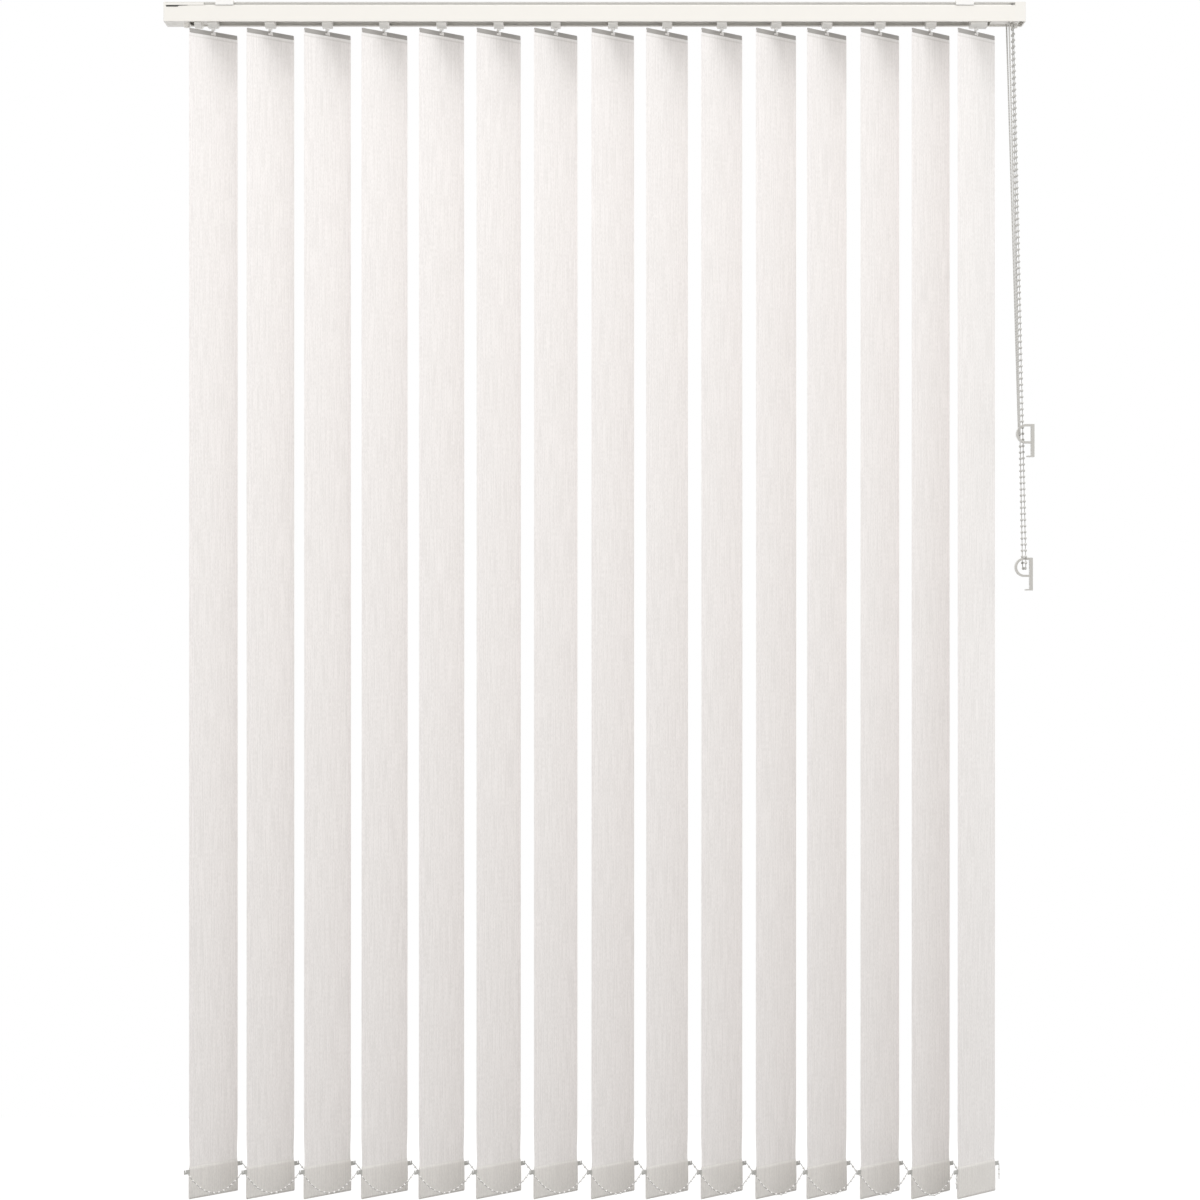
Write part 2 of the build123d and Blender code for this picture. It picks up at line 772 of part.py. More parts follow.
# Traverse cord outside the rail: over the guides, down to the upper wall clip and back up
cord_loop_place = wall_place - cord_loop_inset
cord_loop_low = rail_bottom - cord_clip_drop - loop_sink
cord_points = [
    (cord_place - cord_lead_in, -cord_offset, cord_height),
    (cord_place, -cord_offset, cord_height),
    (cord_loop_place, cord_clip_offset - loop_spread / 2, cord_loop_low),
    (cord_loop_place, cord_clip_offset + loop_spread / 2, cord_loop_low),
    (cord_place, cord_offset, cord_height),
    (cord_place - cord_lead_in, cord_offset, cord_height),
]
cord_radii = [cord_bend_radius, loop_bend_radius, loop_bend_radius, cord_bend_radius]
with BuildPart() as traverse_cord:
    cord_length = tube(cord_points, cord_radii, cord_radius, tube_sides)
keep(traverse_cord, "traverse_cord")

# Tilt chain: over the chain wheel, down to the lower wall clip and back up
chain_loop_place = wall_place - chain_loop_inset
chain_loop_low = rail_bottom - chain_clip_drop - loop_sink
chain_top = rod_height + wheel_pitch_radius
chain_points = [
    (wheel_place, rod_offset - wheel_seam_gap / 2, chain_top),
    (wheel_place, rod_offset - wheel_pitch_radius, chain_top),
    (chain_loop_place, rod_offset - loop_spread / 2, chain_loop_low),
    (chain_loop_place, rod_offset + loop_spread / 2, chain_loop_low),
    (wheel_place, rod_offset + wheel_pitch_radius, chain_top),
    (wheel_place, rod_offset + wheel_seam_gap / 2, chain_top),
]
wheel_bend = wheel_pitch_radius - wheel_seam_gap
chain_radii = [wheel_bend, loop_bend_radius, loop_bend_radius, wheel_bend]
with BuildPart() as tilt_chain:
    chain_length = tube(chain_points, chain_radii, chain_radius, tube_sides)
keep(tilt_chain, "tilt_chain")
print(f"cord {cord_length:.0f} mm, radii {cord_radii}")
print(f"chain {chain_length:.0f} mm, radii {[round(radius, 1) for radius in chain_radii]}")
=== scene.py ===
"""Vertical blind in its studio: woven slats, bead chains, cords and clips round the CAD frame.

Metres, +Z up, +X along the rail, front towards -Y, as in the CAD frame.
"""

import json
import logging
import math
from dataclasses import dataclass, field
from enum import Enum
from typing import Any

import bmesh
import bpy
import numpy as np
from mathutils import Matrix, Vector


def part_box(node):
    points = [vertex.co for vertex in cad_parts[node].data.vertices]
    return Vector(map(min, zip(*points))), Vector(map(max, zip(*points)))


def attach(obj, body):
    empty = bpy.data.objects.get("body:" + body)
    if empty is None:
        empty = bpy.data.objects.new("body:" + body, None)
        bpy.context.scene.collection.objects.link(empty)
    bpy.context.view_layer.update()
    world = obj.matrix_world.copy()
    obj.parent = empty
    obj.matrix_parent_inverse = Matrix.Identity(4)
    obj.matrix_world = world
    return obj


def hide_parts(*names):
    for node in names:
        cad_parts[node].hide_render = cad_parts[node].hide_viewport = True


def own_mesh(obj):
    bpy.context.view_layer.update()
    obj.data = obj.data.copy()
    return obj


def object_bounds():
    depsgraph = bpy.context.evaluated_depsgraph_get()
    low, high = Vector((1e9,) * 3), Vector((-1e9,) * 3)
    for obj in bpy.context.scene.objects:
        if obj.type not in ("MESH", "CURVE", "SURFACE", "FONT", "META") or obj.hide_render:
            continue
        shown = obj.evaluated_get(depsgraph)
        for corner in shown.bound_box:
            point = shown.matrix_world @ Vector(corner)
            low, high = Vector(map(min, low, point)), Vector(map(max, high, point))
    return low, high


logging.basicConfig(level=logging.INFO, format="%(message)s")
log = logging.getLogger("vertical_blind")

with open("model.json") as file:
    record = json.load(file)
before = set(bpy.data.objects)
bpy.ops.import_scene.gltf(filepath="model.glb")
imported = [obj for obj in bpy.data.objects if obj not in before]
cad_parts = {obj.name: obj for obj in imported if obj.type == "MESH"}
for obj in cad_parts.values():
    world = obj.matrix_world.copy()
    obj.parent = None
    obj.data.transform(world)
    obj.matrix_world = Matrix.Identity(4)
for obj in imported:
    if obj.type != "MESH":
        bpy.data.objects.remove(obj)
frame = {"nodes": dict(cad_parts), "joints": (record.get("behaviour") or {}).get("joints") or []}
CAD_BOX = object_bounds()
NODES = frame["nodes"]
JOINTS = {joint["name"]: joint for joint in frame["joints"]}
MM = 0.001
WHOLE_TURN = 2.0 * math.pi
TILT = math.radians(48.0)
ALONG = np.array([math.cos(TILT), math.sin(TILT), 0.0])
THROUGH = np.array([-math.sin(TILT), math.cos(TILT), 0.0])
UP = np.array([0.0, 0.0, 1.0])
BOTH_SIDES = np.array([-1.0, 1.0])[:, None, None]
POCKET_HEIGHT = 45.0 * MM
MERGE_REACH = 1e-6
Piece = bpy.types.Object
Material = bpy.types.Material
Colour = tuple[float, float, float]
Point = tuple[float, float, float]
Span = tuple[float, float]
WHITE: Colour = (1.0, 1.0, 1.0)


class Slot(str, Enum):
    """Names of the record's material slots; no piece here takes its finish from them."""

    PLASTIC = "white_plastic"
    CLOTH = "slat_fabric"
    CORD = "white_cord"
    CHAIN = "bead_chain"
    CLIP = "clip_plastic"


class Value:
    """A shader socket that takes part in Python expressions; each operator adds one Math node."""

    def __init__(self, shader: "Shader", socket: bpy.types.NodeSocket) -> None:
        """Keep the socket and the shader that it belongs to."""
        self.shader = shader
        self.socket = socket

    def _math(self, operation: str, first: Any, second: Any) -> "Value":
        """Add one Math node.

        Args:
            operation: Blender's name of the operation.
            first: value or number for the first socket.
            second: value or number for the second socket.

        Returns:
            The node's result.
        """
        return self.shader.node("ShaderNodeMath", {"operation": operation}, {0: first, 1: second})

    def __add__(self, other: Any) -> "Value":
        """Sum."""
        return self._math("ADD", self, other)

    __radd__ = __add__

    def __sub__(self, other: Any) -> "Value":
        """Difference."""
        return self._math("SUBTRACT", self, other)

    def __rsub__(self, other: Any) -> "Value":
        """Difference from a number."""
        return self._math("SUBTRACT", other, self)

    def __mul__(self, other: Any) -> "Value":
        """Product."""
        return self._math("MULTIPLY", self, other)

    __rmul__ = __mul__

    def __gt__(self, other: Any) -> "Value":
        """One where the value is greater, else zero."""
        return self._math("GREATER_THAN", self, other)

    def __lt__(self, other: Any) -> "Value":
        """One where the value is less, else zero."""
        return self._math("LESS_THAN", self, other)

    def __abs__(self) -> "Value":
        """Size without its sign."""
        return self._math("ABSOLUTE", self, 0.0)


class Shader:
    """A node material, or the world, under construction, with one method that makes any node."""

    def __init__(self, name: str, world: bool = False) -> None:
        """Start an empty material or world with its output node.

        Args:
            name: its name.
            world: make a world.
        """
        self.made = (bpy.data.worlds if world else bpy.data.materials).new(name)
        self.made.use_nodes = True
        self.tree = self.made.node_tree
        self.tree.nodes.clear()
        self.output = self.tree.nodes.new("ShaderNodeOutputWorld" if world else "ShaderNodeOutputMaterial")

    def node(
        self, kind: str, settings: dict | None = None, inputs: dict | None = None, out: Any = 0
    ) -> Value:
        """Make a node, set it up and wire it.

        Args:
            kind: the node's type name.
            settings: properties, set first.
            inputs: socket name or number to a value, number or colour.
            out: name or number of the output that is wanted.

        Returns:
            The wanted output.
        """
        made = self.tree.nodes.new(kind)
        for key, setting in (settings or {}).items():
            setattr(made, key, setting)
        for key, given in (inputs or {}).items():
            socket = made.inputs[key]
            if isinstance(given, Value):
                self.tree.links.new(given.socket, socket)
            else:
                socket.default_value = (*given, 1.0) if socket.type == "RGBA" else given
        return Value(self, made.outputs[out])

    def coordinates(self, kind: str) -> Value:
        """Texture coordinates of the piece: "Object" or "UV"."""
        return self.node("ShaderNodeTexCoord", out=kind)

    def split(self, vector: Value) -> tuple[Value, ...]:
        """The three parts of a vector."""
        first = self.node("ShaderNodeSeparateXYZ", inputs={0: vector})
        return tuple(Value(self, output) for output in first.socket.node.outputs)

    def shown(self) -> Value:
        """Mask of the rays that the viewer sees: straight, mirrored or through glass.

        Returns:
            At least one on such rays, else zero.
        """
        path = self.node("ShaderNodeLightPath").socket.node.outputs
        kinds = ("Camera", "Glossy", "Transmission")
        camera, mirror, through = (Value(self, path[f"Is {kind} Ray"]) for kind in kinds)
        return camera + mirror + through

    def sine(self, phase: Value) -> Value:
        """Sine of a phase."""
        return self.node("ShaderNodeMath", {"operation": "SINE"}, {0: phase})

    def mapped(self, coordinates: Value, scale: Point) -> Value:
        """Coordinates stretched by a factor along each axis."""
        return self.node("ShaderNodeMapping", inputs={"Vector": coordinates, "Scale": scale})

    def noise(self, coordinates: Value, scale: float, detail: float = 2.0, rough: float = 0.5) -> Value:
        """Cloudy noise from zero to one."""
        sockets = {"Vector": coordinates, "Scale": scale, "Detail": detail, "Roughness": rough}
        return self.node("ShaderNodeTexNoise", {"noise_dimensions": "3D"}, sockets)

    def mix(self, factor: Any, first: Any, second: Any) -> Value:
        """Colour between two colours by a factor."""
        sockets = {0: factor, 6: first, 7: second}
        return self.node("ShaderNodeMix", {"data_type": "RGBA"}, sockets, 2)

    def blend(self, factor: Any, first: Value, second: Value) -> Value:
        """Surface between two surfaces by a factor, which is held between zero and one."""
        return self.node("ShaderNodeMixShader", inputs={0: factor, 1: first, 2: second})

    def bump(self, height: Value, strength: float, distance: float) -> Value:
        """Normal disturbed by a height."""
        sockets = {"Strength": strength, "Distance": distance, "Height": height}
        return self.node("ShaderNodeBump", inputs=sockets, out="Normal")

    def finish(self, surface: Value) -> Any:
        """Wire the surface to the output, and hand over the material or world."""
        self.tree.links.new(surface.socket, self.output.inputs["Surface"])
        return self.made

    def principled(self, **sockets: Any) -> Material:
        """Finish with one surface shader; underscores stand for spaces in socket names."""
        named = {name.replace("_", " "): given for name, given in sockets.items()}
        return self.finish(self.node("ShaderNodeBsdfPrincipled", inputs=named, out="BSDF"))


@dataclass(frozen=True)
class Moulding:
    """Moulded or coated finish with a faint mottle and a fine grain.

    Args:
        name: the material's name.
        colour: its main colour, linear.
        shade: the colour of its darker patches, linear.
        rough: its mean roughness.
        grain: scale of its surface grain, per metre.
        grain_height: depth of that grain, metres.
        metallic: share of metal.
        specular: level of its plain reflection.
        coat: weight of a clear coat.
        stretch: factors of the grain's scale along each axis.
        patch: scale of its mottle, per metre.
        mottle: share of the darker colour in a full patch.
        drift: how far its roughness strays either way.
        grain_strength: strength of the grain's bump.
    """

    name: str
    colour: Colour
    shade: Colour
    rough: float
    grain: float
    grain_height: float
    metallic: float = 0.0
    specular: float = 0.5
    coat: float = 0.0
    stretch: Point = (1.0, 1.0, 1.0)
    patch: float = 35.0
    mottle: float = 0.8
    drift: float = 0.06
    grain_strength: float = 0.35

    def make(self) -> Material:
        """Build the material from mottle, roughness drift and grain noise on Object coordinates.

        Returns:
            The material.
        """
        shader = Shader(self.name)
        place = shader.coordinates("Object")
        patches = shader.noise(place, self.patch, detail=3.0)
        grain = shader.noise(shader.mapped(place, self.stretch), self.grain)
        return shader.principled(
            Base_Color=self.tint(shader, place, shader.mix(patches * self.mottle, self.colour, self.shade)),
            Roughness=self.rough - self.drift + patches * (2 * self.drift),
            Metallic=self.metallic,
            Specular_IOR_Level=self.specular,
            Coat_Weight=self.coat,
            Normal=shader.bump(grain, self.grain_strength, self.grain_height),
        )

    def tint(self, shader: Shader, place: Value, colour: Value) -> Value:
        """Colour after local changes; a plain moulding has none."""
        return colour


@dataclass(frozen=True)
class RailCoatWithPaintedShade(Moulding):
    """Rail finish with painted shade on the lips and in the bracket grooves, and on the ledge just under
    them.

    Args:
        lip_painted_shade: painted shade on the lips above the grooves, a colour, linear.
        groove_painted_shade: painted shade in the grooves and on the ledge and top of the front face just
            below them, a colour, linear.
        groove_span: lowest and highest height of the grooves, metres.
        edge_span: distances from the rail's middle between which lips and grooves lie, metres.
    """

    # colours of the painted shade on the lips and in the grooves
    lip_painted_shade: Colour = (0.68, 0.67, 0.645)
    groove_painted_shade: Colour = (0.74, 0.73, 0.70)
    groove_span: Span = (-9.3 * MM, -5.45 * MM)
    edge_span: Span = (19.0 * MM, 23.4 * MM)

    def tint(self, shader: Shader, place: Value, colour: Value) -> Value:
        """Painted shade on the lips and in the grooves, each by a mask of its place.

        Args:
            shader: the material under construction.
            place: Object coordinates.
            colour: colour of the plain coat.

        Returns:
            The colour with the painted shade on lips and grooves.
        """
        across, height = shader.split(place)[1:]
        depth = abs(across)
        # mask of the lips, grooves and ledge, where the painted shade goes
        edge = (depth > self.edge_span[0]) * (depth < self.edge_span[1]) * (height > self.groove_span[0])
        groove_painted_shade = edge * (height < self.groove_span[1])
        return shader.mix(groove_painted_shade, shader.mix(edge, colour, self.lip_painted_shade), self.groove_painted_shade)


@dataclass(frozen=True)
class SlatCloth:
    """Woven slat cloth with vertical slubs, weld lines, a doubled pocket at its foot that is darker partly as
    painted shade, and a painted highlight along the upper fold.

    The UV map runs across the slat in metres (u) and down from its top in metres (v).

    Args:
        name: the material's name.
        thread: colour of the plain weave, linear.
        slub: colour of the thicker yarns, linear.
        doubled: colour of the weld lines, linear.
        pocket_thread_and_shade: colour of the weave over the pocket, darker partly because the grey weight
            lies under its two layers and partly as painted shade for the light they hold back, linear.
        pocket_slub_and_shade: colour of its thicker yarns there, darker in the same two ways, linear.
        pocket: distance from the slat's top to the pocket, metres.
        weld: distance from the top to the upper weld line, metres.
        fold: distance from the top to the upper fold, where a highlight is painted along a line, metres.
        fold_painted_highlight: colour of the painted highlight on that line, linear.
        fold_highlight_share: share of the painted highlight's colour on its line.
        weld_shares: share of the weld colour on the upper and on the lower weld line.
        weld_width: half of a weld line's width, metres.
        pitch: distance between neighbouring threads, metres.
        yarn_noise: scale per metre, detail and roughness of the slubs, the specks and the streaks.
        yarn_level: sum of the three at which thick yarns begin to show.
        yarn_contrast: how quickly they show above it.
        relief_shares: shares of the weave, the slubs and the welds in the relief.
        relief: strength of the relief's bump, and its height in metres.
        rough: roughness between the slubs, and how much they add to it.
        specular: level of its plain reflection.
        sheen: weight and roughness of its sheen.
    """

    name: str
    thread: Colour
    slub: Colour
    doubled: Colour
    pocket_thread_and_shade: Colour
    pocket_slub_and_shade: Colour
    pocket: float
    weld: float
    fold: float
    # painted highlight along the upper fold
    fold_painted_highlight: Colour = (0.98, 0.975, 0.97)
    fold_highlight_share: float = 0.7
    weld_shares: Span = (0.6, 0.35)
    weld_width: float = 0.9 * MM
    pitch: float = 0.55 * MM
    yarn_noise: tuple[tuple[Point, float, float], ...] = (
        ((1100.0, 26.0, 1.0), 3.0, 0.6),
        ((620.0, 210.0, 1.0), 2.0, 0.6),
        ((430.0, 13.0, 1.0), 3.0, 0.65),
    )
    yarn_level: float = 1.34
    yarn_contrast: float = 3.2
    relief_shares: tuple[float, float, float] = (0.45, 0.5, 0.8)
    relief: Span = (0.5, 0.15 * MM)
    rough: Span = (0.86, 0.1)
    specular: float = 0.18
    sheen: Span = (0.12, 0.6)

    def make(self) -> Material:
        """Build the weave: crossing thread waves, stretched yarn noise, masks for welds and pocket, and a
        painted highlight along the upper fold.

        Returns:
            The material.
        """
        shader = Shader(self.name)
        cloth = shader.coordinates("UV")
        across, down, _ = shader.split(cloth)
        slubs, specks, streaks = (
            shader.noise(shader.mapped(cloth, scale), 1.0, detail, rough)
            for scale, detail, rough in self.yarn_noise
        )
        yarns = (slubs + streaks + specks - self.yarn_level) * self.yarn_contrast
        weave = shader.mix(yarns, self.thread, self.slub)
        # darker over the pocket: partly the weight under two layers, partly painted shade
        pocket_weave_and_shade = shader.mix(yarns, self.pocket_thread_and_shade, self.pocket_slub_and_shade)
        weave_with_pocket_shade = shader.mix(down > self.pocket, weave, pocket_weave_and_shade)
        lines = (self.weld, self.pocket, self.fold)
        upper, lower, highlight_line = (abs(down - line) < self.weld_width for line in lines)
        # painted highlight along the upper fold
        with_fold_highlight = shader.mix(highlight_line * self.fold_highlight_share, weave_with_pocket_shade, self.fold_painted_highlight)
        seams = upper * self.weld_shares[0] + lower * self.weld_shares[1]
        warp, weft = (self._thread_wave(shader, place) for place in (across, down))
        woven, slubbed, welded = self.relief_shares
        height = warp * weft * woven + slubs * slubbed - (upper + lower) * welded
        return shader.principled(
            Base_Color=shader.mix(seams, with_fold_highlight, self.doubled),
            Roughness=self.rough[0] + slubs * self.rough[1],
            Specular_IOR_Level=self.specular,
            Sheen_Weight=self.sheen[0],
            Sheen_Roughness=self.sheen[1],
            Normal=shader.bump(height, *self.relief),
        )

    def _thread_wave(self, shader: Shader, place: Value) -> Value:
        """Rounded threads side by side: a sine of the place over the thread pitch, from zero to one."""
        return shader.sine(place * (WHOLE_TURN / self.pitch)) * 0.5 + 0.5


@dataclass(frozen=True)
class BraidedCord:
    """Braided cord: two crossing diagonal waves along the cord's own UV map.

    Args:
        name: the material's name.
        colour: colour of the yarn, linear.
        shade: painted shade between the yarns, a colour, linear.
        turns: diagonal yarns round the cord.
        along: repeats along the cord's whole length.
        rough: roughness between the yarns, and how much less it is on them.
        specular: level of its plain reflection.
        relief: strength of the yarns' bump, and their height in metres.
    """

    name: str
    colour: Colour
    shade: Colour
    turns: float
    along: float
    rough: Span = (0.8, 0.1)
    specular: float = 0.25
    relief: Span = (0.5, 0.2 * MM)

    def make(self) -> Material:
        """Build the braid: the product of two sines whose phases slant opposite ways.

        Returns:
            The material.
        """
        shader = Shader(self.name)
        across, length, _ = shader.split(shader.coordinates("UV"))
        lengthwise, crosswise = length * (WHOLE_TURN * self.turns), across * (WHOLE_TURN * self.along)
        braid = shader.sine(lengthwise + crosswise) * shader.sine(lengthwise - crosswise) * 0.5 + 0.5
        return shader.principled(
            # darker between the yarns: painted shade
            Base_Color=shader.mix(braid, self.shade, self.colour),
            Roughness=self.rough[0] - braid * self.rough[1],
            Specular_IOR_Level=self.specular,
            Normal=shader.bump(braid, *self.relief),
        )


# the rail's own coat colour, with painted shade on its lips, grooves and ledge
RAIL_WHITE = RailCoatWithPaintedShade(
    "rail_warm_white", (0.865, 0.845, 0.805), (0.835, 0.815, 0.775), 0.42, 2600.0, 0.02 * MM, coat=0.15
)
CAP_WHITE = Moulding("cap_white", (0.86, 0.845, 0.81), (0.83, 0.815, 0.78), 0.40, 1500.0, 0.03 * MM)
BRACKET_WHITE = Moulding(
    "bracket_white", (0.90, 0.895, 0.88), (0.87, 0.865, 0.85), 0.36, 2200.0, 0.02 * MM, coat=0.25
)
RUNNER_WHITE = Moulding("runner_white", (0.90, 0.89, 0.865), (0.86, 0.85, 0.825), 0.45, 1800.0, 0.03 * MM)
STEM_WHITE = Moulding("stem_white", (0.94, 0.935, 0.92), (0.90, 0.895, 0.88), 0.34, 1800.0, 0.02 * MM)
HANGER_GREY = Moulding("hanger_grey", (0.42, 0.405, 0.39), (0.37, 0.36, 0.345), 0.46, 1400.0, 0.03 * MM)
WEIGHT_GREY = Moulding("weight_grey", (0.52, 0.52, 0.50), (0.46, 0.46, 0.44), 0.48, 1400.0, 0.03 * MM)
BEAD_WHITE = Moulding(
    "bead_white", (0.60, 0.595, 0.575), (0.52, 0.515, 0.495), 0.26, 1800.0, 0.01 * MM, coat=0.3
)
CLIP_WHITE = Moulding(
    "clip_white", (0.58, 0.57, 0.54), (0.50, 0.49, 0.465), 0.28, 1200.0, 0.02 * MM, coat=0.3
)
THREAD_GREY = Moulding("chain_thread", (0.44, 0.435, 0.42), (0.38, 0.375, 0.36), 0.5, 1800.0, 0.01 * MM)
LINK_WHITE = Moulding(
    "link_bead_white", (0.85, 0.84, 0.82), (0.79, 0.78, 0.76), 0.24, 1800.0, 0.01 * MM, coat=0.4
)
# colour of the slabs of painted shadow in the slit under each idle tongue
PAINTED_SHADOW_DARK = Moulding("trim_dark", (0.055, 0.052, 0.045), (0.04, 0.038, 0.033), 0.5, 1600.0, 0.02 * MM)
PIN_GREY = Moulding("pin_grey", (0.26, 0.25, 0.235), (0.21, 0.20, 0.19), 0.45, 1600.0, 0.02 * MM)
ROD_BARE = Moulding(
    "rod_drawn",
    (0.72, 0.72, 0.72),
    (0.62, 0.62, 0.62),
    0.34,
    900.0,
    0.02 * MM,
    metallic=1.0,
    stretch=(0.02, 1.0, 1.0),
)


def new_object(name: str, data: Any) -> Piece:
    """Put new data into the scene as an object at the origin.

    Args:
        name: the object's name.
        data: its mesh, curve, lamp or camera.

    Returns:
        The new object.
    """
    made = bpy.data.objects.new(name, data)
    bpy.context.scene.collection.objects.link(made)
    return made


def mesh_piece(name: str, points: np.ndarray, faces: list | np.ndarray, smooth: bool = True) -> Piece:
    """Put points and faces into a new object at the origin.

    Args:
        name: the piece's name.
        points: vertices as an array of three columns, metres.
        faces: vertex numbers of each face.
        smooth: shade its faces smoothly.

    Returns:
        The new object.
    """
    mesh = bpy.data.meshes.new(name)
    mesh.from_pydata(points.tolist(), [], [tuple(face) for face in faces])
    mesh.polygons.foreach_set("use_smooth", np.full(len(mesh.polygons), smooth))
    mesh.update()
    return new_object(name, mesh)


def shown_mesh(piece: Piece) -> bpy.types.Mesh:
    """New mesh of an object as its curve or its modifiers show it."""
    bpy.context.view_layer.update()
    return bpy.data.meshes.new_from_object(piece.evaluated_get(bpy.context.evaluated_depsgraph_get()))


def mesh_points(mesh: bpy.types.Mesh) -> np.ndarray:
    """Read the vertices of a mesh.

    Args:
        mesh: the mesh.

    Returns:
        Its vertices, three columns, metres.
    """
    points = np.zeros(len(mesh.vertices) * 3, np.float32)
    mesh.vertices.foreach_get("co", points)
    return points.reshape(-1, 3)


def grid_faces(rows: int, columns: int, wrap_rows: bool = False, wrap_columns: bool = False) -> np.ndarray:
    """Quads of a grid of vertices numbered row by row.

    Args:
        rows: rows of vertices.
        columns: vertices in a row.
        wrap_rows: join the last row to the first.
        wrap_columns: join the last column to the first.

    Returns:
        Vertex numbers, four to a face.
    """
    row = np.arange(rows if wrap_rows else rows - 1)[:, None]
    column = np.arange(columns if wrap_columns else columns - 1)[None, :]
    next_row = (row + 1) % rows
    next_column = (column + 1) % columns
    corners = (
        row * columns + column,
        row * columns + next_column,
        next_row * columns + next_column,
        next_row * columns + column,
    )
    return np.stack([np.broadcast_to(c, (row.size, column.size)) for c in corners], -1).reshape(-1, 4)


def tube_faces(rows: int, sides: int) -> list[list[int]]:
    """Faces of a closed tube of vertex rings: its wall, and a cap at each end.

    Args:
        rows: rings along the tube.
        sides: vertices of a ring.

    Returns:
        Vertex numbers of each face.
    """
    last = (rows - 1) * sides
    caps = [list(range(sides))[::-1], list(range(last, last + sides))]
    return grid_faces(rows, sides, wrap_columns=True).tolist() + caps


def prism(name: str, rings: np.ndarray) -> Piece:
    """Closed flat-shaded piece between two equal outlines.

    Args:
        name: the piece's name.
        rings: both outlines, as an array of shape (2, corners, 3), metres.

    Returns:
        The piece.
    """
    return mesh_piece(name, rings.reshape(-1, 3), tube_faces(2, rings.shape[1]), smooth=False)


def circle(steps: int) -> np.ndarray:
    """Points round a unit circle, two columns."""
    turn = np.linspace(0.0, WHOLE_TURN, steps, endpoint=False)
    return np.stack([np.cos(turn), np.sin(turn)], -1)


def merge_doubles(piece: Piece) -> None:
    """Merge a mesh's coinciding vertices and turn its faces outwards.

    Args:
        piece: the mesh piece.
    """
    shape = bmesh.new()
    shape.from_mesh(piece.data)
    bmesh.ops.remove_doubles(shape, verts=shape.verts, dist=MERGE_REACH)
    bmesh.ops.recalc_face_normals(shape, faces=shape.faces)
    shape.to_mesh(piece.data)
    shape.free()


def soften(piece: Piece, width: float, segments: int = 2) -> None:
    """Round a piece's sharp edges with a Bevel modifier.

    Args:
        piece: the piece.
        width: width of the rounding, metres.
        segments: steps of the rounding.
    """
    bevel = piece.modifiers.new("edges", "BEVEL")
    bevel.width = width
    bevel.segments = segments
    bevel.limit_method = "ANGLE"


def write_uv(piece: Piece, coordinates: np.ndarray) -> None:
    """Give every face corner the UV of its vertex.

    Args:
        piece: the mesh piece.
        coordinates: one (u, v) for each vertex.
    """
    mesh = piece.data
    corner = np.zeros(len(mesh.loops), np.int32)
    mesh.loops.foreach_get("vertex_index", corner)
    layer = mesh.uv_layers.new(name="cloth")
    layer.data.foreach_set("uv", coordinates[corner].astype(np.float32).ravel())


def dress(piece: Piece, material: Material, body: str) -> Piece:
    """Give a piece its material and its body.

    Args:
        piece: the new piece.
        material: what it is made of.
        body: the CAD body that carries it.

    Returns:
        The same piece.
    """
    piece.data.materials.append(material)
    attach(piece, body)
    return piece


def there_and_back(front: np.ndarray, back: np.ndarray) -> np.ndarray:
    """Rows down a cloth's front and then up its back, with the row at the fold only once."""
    return np.concatenate([front, back[-2::-1]])


